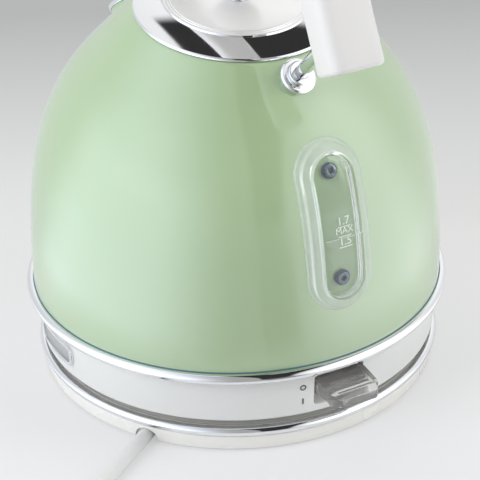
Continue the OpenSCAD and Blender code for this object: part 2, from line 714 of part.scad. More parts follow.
// a short duct to the dome's wall, with a rail on each side and a stop below for the filter
module filter_holder() color(white) {
    intersection() {
        at_filter() linear_extrude(duct_l) difference() {
            rounded_rect(holder_w, filter_l, filter_round);
            rounded_rect(filter_w - 2 * duct_wall, filter_l - 2 * duct_wall, filter_round - duct_wall / 2);
        }
        dome_solid(-body_wall - fit);
    }
    at_filter() for (side = [-1, 1]) {
        translate([side * (filter_w / 2 + play + rail_t / 2), 0, -filter_t / 2 - play])
            cube([rail_t, filter_l - 2 * filter_round, filter_t + 3 * play], center = true);
        translate([side * (filter_w / 2 + play + rail_t / 2 - filter_round / 4), 0, -filter_t - 2 * play - rail_t / 2])
            cube([rail_t + filter_round / 2, filter_l - 2 * filter_round, rail_t], center = true);
    }
    at_filter() translate([-stop_w / 2, filter_l / 2 + play / 2, -filter_t - 2 * play])
        cube([stop_w, rail_t, filter_t + 2 * play]);
    at_filter() translate([-stop_w / 2, filter_l / 2 - duct_wall, 0])
        cube([stop_w, duct_wall + rail_t + play / 2, rail_t]);
}

module filter_frame() color(white) at_filter() translate([0, 0, -filter_t - play]) linear_extrude(filter_t) difference() {
    rounded_rect(filter_w, filter_l, filter_round);
    rounded_rect(filter_w - 2 * filter_border, filter_l - 2 * filter_border, filter_round - filter_border / 2);
}

mesh_t = 0.5;
mesh_w = filter_w - 2 * filter_border - 2 * fit;
mesh_l = filter_l - 2 * filter_border - 2 * fit;
mesh_pitch = 3.2;
mesh_across = floor((mesh_w - mesh_pitch) / mesh_pitch / 2);
mesh_along = floor((mesh_l - mesh_pitch) / mesh_pitch / 2);
module filter_mesh() color(steel) at_filter() translate([0, 0, -filter_t / 2 - play - mesh_t / 2]) linear_extrude(mesh_t) difference() {
    rounded_rect(mesh_w, mesh_l, filter_round - filter_border / 2);
    for (x = [-mesh_across:mesh_across], y = [-mesh_along:mesh_along])
        translate([x * mesh_pitch, y * mesh_pitch]) square(mesh_pitch * 0.72, center = true);
}

// ---- water gauge ----
module gauge_prism(w, l) at_hole(gauge_z) translate([0, 0, -14]) linear_extrude(34) stadium(w, l);
module gauge_layer(w, l, out) intersection() {
    gauge_prism(w, l);
    dome_solid(out);
}

module gauge_window() color(clear) difference() {
    union() {
        gauge_layer(gauge_w, gauge_l, 1.6);
        gauge_layer(gauge_w - 3.6, gauge_l - 3.6, gauge_out * 0.72);
        gauge_layer(gauge_w - 2 * gauge_step, gauge_l - 2 * gauge_step, gauge_out);
    }
    dome_solid(fit);
    gauge_layer(gauge_w - 2 * gauge_step - 3, gauge_l - 2 * gauge_step - 3, gauge_out - 1.6);
}

module gauge_nozzles() color(steel) for (z = [low_hole_z, high_hole_z]) at_hole(z) difference() {
    union() {
        translate([0, 0, -7]) cylinder(r = nozzle_r, h = 8.6, $fn = 48);
        translate([0, 0, 1.6]) cylinder(r = nozzle_r + 0.5, h = 0.6, $fn = 48);
    }
    translate([0, 0, -8]) cylinder(r = nozzle_r - 1, h = 12, $fn = 48);
}

module gauge_seals() color(rubber) for (z = [low_hole_z, high_hole_z]) difference() {
    at_hole(z) difference() {
        translate([0, 0, -0.4]) cylinder(r = nozzle_r + 1.2, h = 1.9, $fn = 48);
        translate([0, 0, -1]) cylinder(r = nozzle_r + 0.03, h = 4, $fn = 48);
    }
    dome_solid(0.03);
}

module gauge_nuts() color(steel) for (z = [low_hole_z, high_hole_z]) at_hole(z) difference() {
    translate([0, 0, -body_wall - 3.4]) cylinder(r = nozzle_r + 2.2, h = 3, $fn = 6);
    translate([0, 0, -10]) cylinder(r = nozzle_r + 0.03, h = 12, $fn = 48);
}

// ---- handle ----
arch_z = handle_top_z - grip_t / 2 - arch_r;
tail_y = arch_flat / 2 + arch_r * cos(tail_lean);
tail_z = arch_z + arch_r * sin(tail_lean);
// length of a rod from the dome to the inner face of the grip
rod_foot_z = neck_z + dome_neck_r - rod_foot_y;
rod_reach = ((tail_y - rod_foot_y) * cos(tail_lean) + (tail_z - rod_foot_z) * sin(tail_lean) - grip_t / 2)
    / (sqrt(0.5) * (cos(tail_lean) + sin(tail_lean)));

// the straight pieces are a hair thinner and end inside the curved ones
seam = 0.02;
seam_in = 1;
module grip_straight(l) linear_extrude(l + seam_in) rounded_rect(grip_w - 2 * seam, grip_t - 2 * seam, grip_round - seam);

module half_arch(tail) {
    translate([0, -arch_flat / 2, arch_z]) rotate([90, 0, -90]) rotate([0, 0, tail_lean])
        rotate_extrude(angle = 90 - tail_lean, $fn = 180) translate([arch_r, 0]) rounded_rect(grip_t, grip_w, grip_round);
    translate([0, -tail_y, tail_z]) rotate([180 - tail_lean, 0, 0]) translate([0, 0, -seam_in]) grip_straight(tail);
}

module handle_grip() color(white) difference() {
    union() {
        half_arch(rear_tail);
        mirror([0, 1, 0]) half_arch(front_tail);
        translate([0, arch_flat / 2 + seam_in, arch_z + arch_r]) rotate([90, 0, 0]) grip_straight(arch_flat + seam_in);
    }
    for (s = [-1, 1]) at_rod(s) cylinder(r = rod_r + 0.05, h = rod_reach + rod_grip + 0.5, $fn = 64);
}

washer_gap = 0.3;   // clears the curve of the wall
washer_t = 1;
nut_h = 2.8;
nut_r = rod_r + 2.2;
rod_in = body_wall + washer_gap + 2 * fit + washer_t + nut_h + 0.8;
module rod(s) color(chrome) at_rod(s) translate([0, 0, -rod_in]) cylinder(r = rod_r, h = rod_in + rod_reach + rod_grip, $fn = 64);
module rear_rod() rod(-1);
module front_rod() rod(1);

module ferrule(s) color(chrome) difference() {
    at_rod(s) {
        translate([0, 0, -1]) cylinder(r = ferrule_r, h = 3, $fn = 96);
        translate([0, 0, 2]) cylinder(r1 = ferrule_r, r2 = ferrule_r - 0.8, h = 0.8, $fn = 96);
        translate([0, 0, 2]) cylinder(r = ferrule_r * 0.7, h = 3.6, $fn = 96);
    }
    at_rod(s) translate([0, 0, -5]) cylinder(r = rod_r + 0.03, h = 20, $fn = 64);
    dome_solid(0.05);
}
module rear_ferrule() ferrule(-1);
module front_ferrule() ferrule(1);

module rod_washers() color(steel) for (s = [-1, 1]) at_rod(s) difference() {
    translate([0, 0, -body_wall - washer_gap - washer_t]) cylinder(r = nut_r, h = washer_t, $fn = 64);
    translate([0, 0, -10]) cylinder(r = rod_r + 0.1, h = 20, $fn = 64);
}

module rod_nuts() color(steel) for (s = [-1, 1]) at_rod(s) difference() {
    translate([0, 0, -body_wall - washer_gap - fit - washer_t - nut_h]) cylinder(r = nut_r, h = nut_h, $fn = 6);
    translate([0, 0, -10]) cylinder(r = rod_r + 0.03, h = 20, $fn = 64);
}

// ---- lid: heights are above the lid plane ----
lid_t = 0.8;
lid_edge = 1.2;
step_h = lid_edge + lid_band_rise;
crown_h = step_h + 0.6 + lid_crown;
function crown_arc(r, h, n = 12) = [for (i = [0:n]) [r * (1 - i / n), h + lid_crown * (1 - pow(1 - i / n, 2))]];

module lid_cover() color(chrome) at_lid() rotate_extrude($fn = 180) difference() {
    polygon(concat([[lid_r - 1.2, -cut_gap + play], [lid_r, -cut_gap + play], [lid_r, lid_edge - 0.5],
        [lid_r - 0.5, lid_edge], [lid_step_r, step_h]], crown_arc(lid_step_r - 0.4, step_h + 0.6), [[0, crown_h - lid_t]],
        [for (i = [12:-1:0]) crown_arc(lid_step_r - 0.4 - lid_t, step_h + 0.6 - lid_t)[i]],
        [[lid_step_r + 0.3, step_h - lid_t], [lid_r - 1.4, lid_edge - lid_t]]));
    translate([-1, -1]) square([1 + 2.1, 40]);
}

plug_wall_r = neck_r - 0.8;
plug_low = shelf_h - neck_depth + 1;
module lid_plug() color(white) at_lid() difference() {
    union() {
        translate([0, 0, plug_low]) cylinder(r = plug_wall_r, h = 2.5 - plug_low, $fn = 180);
        translate([0, 0, shelf_h + 0.8]) cylinder(r = lid_r - 3, h = 1.2, $fn = 180);
    }
    translate([0, 0, plug_low + 1.2]) difference() {
        cylinder(r = plug_wall_r - 1.4, h = 40, $fn = 180);
        cylinder(r = 4, h = 40, $fn = 48);
    }
    translate([0, 0, step_h - 1]) cylinder(r = 20, h = 10);
    translate([0, 0, plug_low + 4]) cylinder(r = 1.6, h = 40, $fn = 32);
}

module lid_seal() color(rubber) at_lid() translate([0, 0, shelf_h + play]) ring(lid_r - 3.6, plug_wall_r + 0.6, 0.5 - fit);

collar_h = 5;
module knob_collar() color(chrome) at_lid() translate([0, 0, crown_h + fit]) difference() {
    union() {
        cylinder(r1 = 6.6, r2 = 6, h = 1.6, $fn = 64);
        cylinder(r = 3.8, h = collar_h, $fn = 64);
    }
    translate([0, 0, -1]) cylinder(r = 2.1, h = 20, $fn = 32);
}

knob_z = crown_h + fit + collar_h + fit;
module knob() color(white) at_lid() translate([0, 0, knob_z]) difference() {
    rotate_extrude($fn = 96) intersection() {
        polygon(concat([[0, 0], [knob_r * 0.45, 0]],
            [for (a = [-50:10:90]) [knob_r * cos(a), knob_h * (0.52 + 0.48 * sin(a))]]));
        square([knob_r + 1, knob_h + 1]);
    }
    translate([0, 0, -1]) cylinder(r = 1.6, h = knob_h * 0.6 + 1, $fn = 32);
}

module knob_screw() color(steel) at_lid() {
    translate([0, 0, crown_h - lid_t - 1.8]) cylinder(r = 3.2, h = 1.6, $fn = 48);
    translate([0, 0, crown_h - lid_t - 0.4]) cylinder(r = 1.5, h = lid_t + fit + collar_h + knob_h * 0.5, $fn = 32);
}

base_housing();
base_trim_ring();
base_bottom_plate();
base_feet();
base_screws();
base_connector();
base_contacts();
base_wires();
cord_sleeve();
cord();
cord_coil();
cord_tail();
coil_tie();
plug_body();
plug_pins();
body_shell();
spout();
spout_lip();
mouth_ring();
body_ring();
lower_housing();
bottom_cover();
housing_screws();
badge_frame();
badge_plate();
switch_marks();
switch_cage();
switch_pin();
indicator_lamp();
heating_plate();
plate_seal();
heat_spreader();
heating_element();
thermostat_control();
kettle_contacts();
steam_tube();
gauge_window();
gauge_nozzles();
gauge_seals();
gauge_nuts();
rear_ferrule();
front_ferrule();
rear_rod();
front_rod();
rod_washers();
rod_nuts();
handle_grip();
filter_holder();
lid_cover();
lid_plug();
lid_seal();
knob_collar();
knob();
knob_screw();
switch_lever();
filter_frame();
filter_mesh();
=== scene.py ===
from contextlib import contextmanager
from math import atan, atan2, cos, degrees, hypot, pi, radians, sin, sqrt, tan

import bmesh
import bpy
from mathutils import Matrix, Quaternion, Vector


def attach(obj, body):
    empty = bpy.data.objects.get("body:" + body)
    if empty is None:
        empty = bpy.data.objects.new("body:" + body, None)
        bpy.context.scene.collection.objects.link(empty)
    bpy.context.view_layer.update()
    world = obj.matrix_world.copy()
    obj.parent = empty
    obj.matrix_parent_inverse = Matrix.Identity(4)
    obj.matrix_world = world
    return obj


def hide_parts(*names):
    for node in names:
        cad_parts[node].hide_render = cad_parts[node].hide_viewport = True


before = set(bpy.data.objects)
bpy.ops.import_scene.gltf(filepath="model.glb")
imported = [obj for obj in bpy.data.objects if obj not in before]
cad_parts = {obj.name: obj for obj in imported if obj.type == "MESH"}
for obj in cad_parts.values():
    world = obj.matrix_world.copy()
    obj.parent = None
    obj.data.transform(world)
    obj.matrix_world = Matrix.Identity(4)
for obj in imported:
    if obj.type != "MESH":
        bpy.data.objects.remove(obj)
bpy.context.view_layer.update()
scene = bpy.context.scene
scene.view_settings.view_transform = "Standard"

# camera, at the lens and roll of a product shot
print("camera")
shot = {"eye": (-0.3447, -0.6526, 0.4761), "lookAt": (0.0018, -0.0009, 0.0544), "roll": -1.4, "lens": 133.9,
        "sensor": 36, "clip": (0.02, 50)}


def placed(name, data):
    obj = bpy.data.objects.new(name, data)
    scene.collection.objects.link(obj)
    return obj


def withSettings(thing, **settings):
    for label, value in settings.items():
        setattr(thing, label, value)
    return thing


def facing(eye, target):
    return (Vector(target) - Vector(eye)).to_track_quat("-Z", "Y")


def makeCamera():
    near, far = shot["clip"]
    camera = placed("camera", withSettings(bpy.data.cameras.new("camera"), sensor_width=shot["sensor"],
                                           lens=shot["lens"], clip_start=near, clip_end=far))
    roll = Quaternion((0, 0, 1), radians(shot["roll"]))
    scene.camera = withSettings(camera, rotation_mode="QUATERNION", location=shot["eye"],
                                rotation_quaternion=facing(shot["eye"], shot["lookAt"]) @ roll)


makeCamera()


# helpers: every outline and place is in millimetres
def turning(axis):
    return lambda angle: Matrix.Rotation(radians(angle), 4, axis)


turnX, turnY, turnZ = turning("X"), turning("Y"), turning("Z")


def shift(x, y, z):
    return Matrix.Translation((x, y, z))


# the point at t of a bend that leaves a towards b and runs into c
def bend(a, b, c, t):
    return (1 - t) ** 2 * a + 2 * t * (1 - t) * b + t * t * c


# rounds the corners of an outline; a third number on a point is its own radius
def softened(points, radius, steps=4):
    made = []
    for i, corner in enumerate(points):
        r = corner[2] if len(corner) > 2 else radius
        here = Vector(corner[:2])
        back = Vector(points[i - 1][:2]) - here
        ahead = Vector(points[(i + 1) % len(points)][:2]) - here
        bent = r > 0 and min(back.length, ahead.length) >= 1e-6
        half = back.angle(ahead) / 2 if bent else 0
        if not bent or half > radians(86):
            made.append(tuple(here))
            continue
        cut = min(r / tan(half), 0.45 * back.length, 0.45 * ahead.length)
        start, end = here + back.normalized() * cut, here + ahead.normalized() * cut
        made += [tuple(bend(start, here, end, k / steps)) for k in range(steps + 1)]
    return made


@contextmanager
def reworked(obj):
    bm = bmesh.new()
    bm.from_mesh(obj.data)
    yield bm
    bm.to_mesh(obj.data)
    bm.free()


def tidyMesh(obj, gap=2e-6):
    with reworked(obj) as bm:
        bmesh.ops.remove_doubles(bm, verts=bm.verts, dist=gap)
        bmesh.ops.dissolve_degenerate(bm, dist=1e-7, edges=bm.edges)
        bmesh.ops.recalc_face_normals(bm, faces=bm.faces)


def addMesh(name, points, faces, place=None, welded=True):
    mesh = bpy.data.meshes.new(name)
    moved = [place @ Vector(p) if place else Vector(p) for p in points]
    mesh.from_pydata([p * 0.001 for p in moved], [], faces)
    obj = placed(name, mesh)
    if welded:
        tidyMesh(obj)
    return obj


# skins a row of loops that have the same number of points
def loft(name, loops, place=None, capped=True):
    n, last = len(loops[0]), (len(loops) - 1) * len(loops[0])
    points = [p for loop in loops for p in loop]
    faces = [(i + k, i + (k + 1) % n, i + n + (k + 1) % n, i + n + k)
             for i in range(0, last, n) for k in range(n)]
    if capped:
        faces += [tuple(range(n))[::-1], tuple(range(last, last + n))]
    return addMesh(name, points, faces, place)


def fullTurn(steps):
    return [2 * pi * i / steps for i in range(steps)]


# the number of every row with that of the next one, and the last with the first
def rowPairs(count):
    return zip(range(count), [*range(1, count), 0])


# turns closed outlines of (radius, height) about the upright axis: outlineAt gives the one at an angle
def spun(name, outlineAt, place=None, steps=192):
    points = [(r * cos(a), r * sin(a), z) for a in fullTurn(steps) for r, z in outlineAt(a)]
    n = len(points) // steps
    faces = [(i * n + k, j * n + k, j * n + (k + 1) % n, i * n + (k + 1) % n)
             for i, j in rowPairs(steps) for k in range(n)]
    return addMesh(name, points, faces, place)


def lathe(name, outline, place=None, steps=192):
    return spun(name, lambda a: outline, place, steps)


def roundedRect(w, h, r, steps=6):
    out = []
    for cx, cy, start in ((1, 1, 0), (-1, 1, 90), (-1, -1, 180), (1, -1, 270)):
        for k in range(steps + 1):
            a = radians(start + 90 * k / steps)
            out.append((cx * (w / 2 - r) + r * cos(a), cy * (h / 2 - r) + r * sin(a)))
    return out


def block(name, outline, low, high, place=None):
    return loft(name, [[(x, y, z) for x, y in outline] for z in (low, high)], place)


def meshOf(obj):
    return bpy.data.meshes.new_from_object(obj.evaluated_get(bpy.context.evaluated_depsgraph_get()))


def applied(obj):
    mesh = meshOf(obj)
    obj.modifiers.clear()
    obj.data = mesh
    return obj


def modify(obj, kind, **settings):
    return withSettings(obj.modifiers.new(kind.lower(), kind), **settings)


def carve(obj, *cutters, mode="DIFFERENCE"):
    for cutter in cutters:
        modify(obj, "BOOLEAN", operation=mode, solver="EXACT", object=cutter)
    applied(obj)
    for cutter in cutters:
        bpy.data.objects.remove(cutter)
    return obj


def bevelled(obj, width, segments=2, angle=35):
    modify(obj, "BEVEL", width=width * 0.001, segments=segments, limit_method="ANGLE",
           angle_limit=radians(angle))
    return applied(obj)


# a CAD node's mesh, merged, with softened edges
def fromNode(node, width=0.0):
    obj = placed(node + "_fine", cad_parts[node].data.copy())
    tidyMesh(obj, 4e-6)
    if width:
        with reworked(obj) as bm:
            bmesh.ops.dissolve_limit(bm, angle_limit=radians(1.5), verts=bm.verts, edges=bm.edges)
        bevelled(obj, width)
    return obj


# dresses a piece in its look, and lets it ride its body in place of the CAD nodes
def finished(obj, look, body, *nodes, angle=32):
    obj.data.materials.clear()
    obj.data.materials.append(looks[look])
    if obj.type == "MESH":
        obj.data.shade_smooth()
        obj.data.set_sharp_from_angle(angle=radians(angle))
    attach(obj, body)
    if nodes:
        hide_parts(*nodes)
    return obj


def refined(body, *rows):
    return [finished(fromNode(node, edge), look, body, node) for node, look, edge in rows]


# cord: one smooth line from the base to a wound coil and on to the plug
print("cord")
lead = {
    "route": [(-73.3, -52.3, 3.6), (-81.4, -58.1, 3.4), (-89.5, -63.9, 3.3), (-97.7, -69.7, 3.3),
              (-105.8, -75.5, 3.3), (-114, -82, 3.3), (-122.4, -89.4, 3.3), (-130.6, -97.8, 3.3),
              (-138, -107, 3.3), (-144.6, -117, 3.3), (-150.4, -128, 3.3), (-155, -139.6, 3.3),
              (-158.4, -151.6, 3.3), (-160.4, -164, 3.3)],
    "tail": [(-112, -208.8, 15.6), (-104, -209.5, 17.2), (-97, -209.9, 18.4), (-91, -210, 18.7)],
    "coilAt": (-125, -172), "outer": 36.2, "inner": 29.8, "apart": 6.5, "low": 3.3, "diameter": 6.4,
    "length": 0.87, "angle": 215.5}


def eased(value, start, end):
    t = min(1, max(0, (value - start) / (end - start)))
    return t * t * (3 - 2 * t)


# the three turns change places between 90 and 170 degrees: outer to inner, inner to top, top away
def coilPoint(angle):
    swap = lead["inner"] - lead["outer"]
    lift = (lead["apart"] / 2, lead["apart"] * sqrt(0.75))
    if angle < 540:
        r, z = lead["outer"] + swap * eased(angle, 450, 530), lead["low"]
    else:
        way = eased(angle, 810, 890) if angle < 900 else eased(angle, 1170, 1250)
        tip = radians(180 - 120 * way)
        r = lead["outer"] + swap * way + lead["apart"] * cos(tip)
        z = lead["low"] + lead["apart"] * sin(tip)
        if angle >= 900:
            r, z = r + lift[0], z + lift[1]
    a = radians(angle)
    return lead["coilAt"][0] + r * cos(a), lead["coilAt"][1] + r * sin(a), z


def makeCord():
    points = lead["route"] + [coilPoint(a) for a in range(180, 1351, 15)] + lead["tail"]
    curve = withSettings(bpy.data.curves.new("mains_cord", "CURVE"), dimensions="3D", resolution_u=5,
                         bevel_depth=lead["diameter"] / 2000, bevel_resolution=5, use_fill_caps=True)
    line = curve.splines.new("BEZIER")
    line.bezier_points.add(len(points) - 1)
    for spot, p in zip(line.bezier_points, points):
        spot.co = Vector(p) * 0.001
        spot.handle_left_type = spot.handle_right_type = "AUTO"
    return placed("mains_cord", curve)


mainsCord = makeCord()


# light: soft lamps, an even fill, and a room that only polished surfaces see
print("light")
studio = {"turn": 28, "fill": 0.46, "backdrop": (0.60, 0.63, 0.61), "near": 0.42, "ceiling": 0.035,
          "floor": 0.80, "leftNear": (1.3, 1.38, 1.6), "leftBand": (1.65, 1.75, 2.0),
          "leftFar": (0.74, 0.77, 0.80), "rightNear": (1.6, 1.62, 1.7), "rightFar": (0.85, 0.86, 0.88),
          "skew": 0.25, "skewAt": 0.75}
lamps = {"leftLamp": (13.2, (0.9, 1.1), (-1.25, -0.05, 0.75), 0.1, (0.97, 0.99, 1.03)),
         "rightLamp": (8.5, (0.7, 1.0), (0.95, -0.75, 0.65), 0.1, (1, 1, 1)),
         "topLamp": (5.0, (1.2, 0.9), (0.1, 0.55, 1.35), 0.05, (1, 1, 1))}
# where each part of the room comes and goes over side, away or up, which run from 0 to 1 with 0.5 level
fades = {"farWall": [(0.0, 0.7), (0.5, 0.62), (0.58, 0.85), (0.66, 1.05), (1.0, 1.05)],
         "far": [(0.36, 0.0), (0.62, 1.0)], "sidesFar": [(0.46, 0.0), (0.74, 1.0)],
         "band": [(0.40, 0.0), (0.50, 1.0), (0.58, 1.0), (0.74, 0.0)],
         "left": [(0.14, 1.0), (0.50, 0.0)], "right": [(0.64, 0.0), (0.90, 1.0)],
         "patchLeft": [(0.404, 0.0), (0.412, 1.0)], "patchRight": [(0.70, 1.0), (0.74, 0.0)],
         "patchFar": [(0.81, 1.0), (0.85, 0.0)], "patchLow": [(0.47, 0.0), (0.53, 1.0)]}


def link(tree, a, b):
    tree.links.new(a, b)


def isSocket(value):
    return isinstance(value, bpy.types.NodeSocket)


def rgba(color):
    return (*color, 1) if isinstance(color, tuple) else (color, color, color, 1)


# a node with its settings, and its inputs by label or number as values, sockets or other nodes
def addNode(tree, kind, inputs=None, **settings):
    node = withSettings(tree.nodes.new(kind if "Node" in kind else "ShaderNode" + kind), **settings)
    for label, value in (inputs or {}).items():
        value = value.outputs[0] if isinstance(value, bpy.types.Node) else value
        if isSocket(value):
            link(tree, value, node.inputs[label])
        else:
            node.inputs[label].default_value = value
    return node


def mathNode(tree, operation, *values, clamp=False):
    return addNode(tree, "Math", dict(enumerate(values)), operation=operation, use_clamp=clamp).outputs[0]


# 0 to 1 while value goes from low to high
def between(tree, value, low, high, clamp=False):
    return mathNode(tree, "MULTIPLY_ADD", value, 1 / (high - low), -low / (high - low), clamp=clamp)


def ramp(tree, value, stops, smooth=True):
    node = addNode(tree, "ValToRGB", {0: value})
    node.color_ramp.interpolation = "EASE" if smooth else "LINEAR"
    for _ in stops[2:]:
        node.color_ramp.elements.new(0.5)
    for element, (at, color) in zip(node.color_ramp.elements, stops):
        element.position = at
        element.color = rgba(color)
    return node.outputs[0]


def mixColor(tree, amount, a, b):
    a, b = [color if isSocket(color) else rgba(color) for color in (a, b)]
    return addNode(tree, "Mix", {0: amount, 6: a, 7: b}, data_type="RGBA").outputs[2]


def mixShader(tree, amount, a, b):
    return addNode(tree, "MixShader", {0: amount, 1: a, 2: b})


def placeGroup(tree, group, **values):
    return addNode(tree, "Group", values, node_tree=group)


# an empty group and the outputs of its input node; each socket is a label, a kind and sometimes a value
def newGroup(name, inputs, outputs, kind="ShaderNodeTree"):
    group = bpy.data.node_groups.new(name, kind)
    for way, sockets in (("INPUT", inputs), ("OUTPUT", outputs)):
        for label, form, *value in sockets:
            socket = group.interface.new_socket(name=label, in_out=way, socket_type="NodeSocket" + form)
            if value:
                socket.default_value = value[0]
    return group, addNode(group, "NodeGroupInput").outputs


def turned(tree, vector):
    return addNode(tree, "Mapping", {"Vector": vector, "Rotation": (0, 0, radians(studio["turn"]))})


# the room around the table, as polished surfaces see it in the way Vector
def makeRoom():
    group, given = newGroup("room", [("Vector", "Vector")], [("Color", "Color")])
    even = addNode(group, "VectorMath", {0: turned(group, given["Vector"])}, operation="NORMALIZE")
    split = addNode(group, "SeparateXYZ", {0: even})
    side, away, up = [mathNode(group, "MULTIPLY_ADD", part, 0.5, 0.5) for part in split.outputs]

    def fade(label, value):
        return ramp(group, value, fades[label])

    around = mixColor(group, fade("far", away), studio["near"], fade("farWall", up))
    toFar = fade("sidesFar", away)
    leftNear = mixColor(group, fade("band", up), studio["leftNear"], studio["leftBand"])
    around = mixColor(group, fade("left", side), around, mixColor(group, toFar, leftNear, studio["leftFar"]))
    rightWall = mixColor(group, toFar, studio["rightNear"], studio["rightFar"])
    around = mixColor(group, fade("right", side), around, rightWall)
    lean = mathNode(group, "MULTIPLY_ADD", away, studio["skew"], -studio["skew"] * studio["skewAt"])
    patch = fade("patchLeft", mathNode(group, "ADD", side, lean))
    for label, value in (("patchRight", side), ("patchFar", away), ("patchLow", up)):
        patch = mathNode(group, "MULTIPLY", patch, fade(label, value))
    addNode(group, "NodeGroupOutput", {"Color": mixColor(group, patch, around, studio["ceiling"])})
    return group


room = makeRoom()


def makeWorld():
    world = bpy.data.worlds.new("studio")
    scene.world = world
    world.use_nodes = True
    tree = world.node_tree
    tree.nodes.clear()
    path = addNode(tree, "LightPath").outputs
    seen = placeGroup(tree, room, Vector=addNode(tree, "TexCoord").outputs["Generated"])
    fill = addNode(tree, "Background", {"Color": rgba(1), "Strength": studio["fill"]})
    mirrored = addNode(tree, "Background", {"Color": seen})
    plain = addNode(tree, "Background", {"Color": rgba(studio["backdrop"])})
    lit = mixShader(tree, path["Is Glossy Ray"], fill, mirrored)
    direct = mathNode(tree, "MAXIMUM", path["Is Camera Ray"], path["Is Transmission Ray"])
    addNode(tree, "OutputWorld", {0: mixShader(tree, direct, lit, plain)})


def softLamp(name, power, size, at, aim, color):
    data = withSettings(bpy.data.lights.new(name, "AREA"), color=color, shape="RECTANGLE", size=size[0],
                        size_y=size[1], energy=power)
    withSettings(placed(name, data), location=at, rotation_euler=facing(at, (0, 0, aim)).to_euler(),
                 visible_glossy=False)


makeWorld()
for lampName, values in lamps.items():
    softLamp(lampName, *values)


def newMaterial(name):
    material = bpy.data.materials.new(name)
    material.use_nodes = True
    tree = material.node_tree
    coords = addNode(tree, "TexCoord").outputs["Object"]
    return material, tree, tree.nodes["Principled BSDF"], coords


def setInputs(node, **values):
    for label, value in values.items():
        node.inputs[label.replace("_", " ")].default_value = value


# floor, its colour darkening from front to back: painted falloff of the light
table = {"front": (0.82, 0.82, 0.83), "middle": (0.80, 0.805, 0.80), "back": (0.46, 0.475, 0.465),
         "middleAt": 0.39, "span": (-0.11, 0.42), "size": 6.0, "even": 0.55, "nearby": (0.125, 0.2),
         "grain": 600, "bump": 0.02}


def makeFloor():
    s = table["size"]
    mesh = bpy.data.meshes.new("floor")
    mesh.from_pydata([(-s, -s, 0), (s, -s, 0), (s, s, 0), (-s, s, 0)], [], [(0, 1, 2, 3)])
    floor = placed("floor", mesh)
    material, tree, bsdf, coords = newMaterial("paperFloor")
    split = addNode(tree, "SeparateXYZ", {0: turned(tree, coords)})
    # the front, middle and back colours paint the light falling off towards the back
    stops = [(0.0, table["front"]), (table["middleAt"], table["middle"]), (1.0, table["back"])]
    color = ramp(tree, between(tree, split.outputs[1], *table["span"]), stops, False)
    link(tree, color, bsdf.inputs["Base Color"])
    setInputs(bsdf, Roughness=0.6, Specular_IOR_Level=0.15)
    noise = addNode(tree, "TexNoise", {"Vector": coords, "Scale": table["grain"]})
    bump = addNode(tree, "Bump", {"Strength": table["bump"], "Height": noise})
    link(tree, bump.outputs[0], bsdf.inputs["Normal"])
    # the lens sees an evenly lit sheet with half the shadow, polish sees it fade into the room
    path = addNode(tree, "LightPath").outputs
    sheet = addNode(tree, "Emission", {"Color": color})
    reach = addNode(tree, "VectorMath", {0: coords}, operation="LENGTH").outputs["Value"]
    faded = between(tree, reach, *table["nearby"], clamp=True)
    seen = placeGroup(tree, room, Vector=coords).outputs[0]
    mirrored = addNode(tree, "Emission", {"Color": mixColor(tree, faded, studio["floor"], seen)})
    plain = mixShader(tree, mathNode(tree, "MULTIPLY", path["Is Camera Ray"], table["even"]), bsdf, sheet)
    shown = mixShader(tree, mathNode(tree, "MULTIPLY", path["Is Glossy Ray"], faded), plain, mirrored)
    link(tree, shown.outputs[0], tree.nodes["Material Output"].inputs["Surface"])
    floor.data.materials.append(material)


makeFloor()


# finishes
print("finishes")


# slow cloudy change between two values, as of wiped or handled surfaces
def makeHandling():
    group, given = newGroup("handling", [
        ("Vector", "Vector"), ("Scale", "Float", 40.0), ("Low", "Float", 0.2), ("High", "Float", 0.3)],
        [("Value", "Float"), ("Mask", "Float")])
    wide = addNode(group, "TexNoise", {"Vector": given["Vector"], "Scale": given["Scale"], "Detail": 3})
    mask = ramp(group, wide.outputs["Fac"], [(0.35, 0.0), (0.68, 1.0)])
    spread = addNode(group, "MapRange", {"Value": mask, "To Min": given["Low"], "To Max": given["High"]})
    addNode(group, "NodeGroupOutput", {"Value": spread, "Mask": mask})
    return group


# fine grain, drawn out along one way where Stretch isn't even
def makeGrain():
    group, given = newGroup("grain", [("Vector", "Vector"), ("Stretch", "Vector", (1, 1, 1)),
                                      ("Scale", "Float", 900.0)], [("Height", "Float")])
    drawn = addNode(group, "VectorMath", {0: given["Vector"], 1: given["Stretch"]}, operation="MULTIPLY")
    fine = addNode(group, "TexNoise", {"Vector": drawn, "Scale": given["Scale"], "Detail": 2})
    addNode(group, "NodeGroupOutput", {"Height": fine})
    return group


# sparse specks of dust on what faces up
def makeDust():
    group, given = newGroup("dust", [("Vector", "Vector"), ("Scale", "Float", 700.0),
                                     ("Amount", "Float", 0.5)],
                            [("Mask", "Float")])
    specks = addNode(group, "TexVoronoi", {"Vector": given["Vector"], "Scale": given["Scale"]})
    dots = ramp(group, specks.outputs["Distance"], [(0.0, 1.0), (0.09, 0.0)])
    face = addNode(group, "NewGeometry")
    split = addNode(group, "SeparateXYZ", {0: face.outputs["Normal"]})
    up = mathNode(group, "SMOOTH_MAX", split.outputs[2], 0.0, 0.1, clamp=True)
    mask = mathNode(group, "MULTIPLY", mathNode(group, "MULTIPLY", dots, up), given["Amount"], clamp=True)
    addNode(group, "NodeGroupOutput", {"Mask": mask})
    return group


handling, grain, dust = makeHandling(), makeGrain(), makeDust()
dustColor = (0.75, 0.75, 0.72)


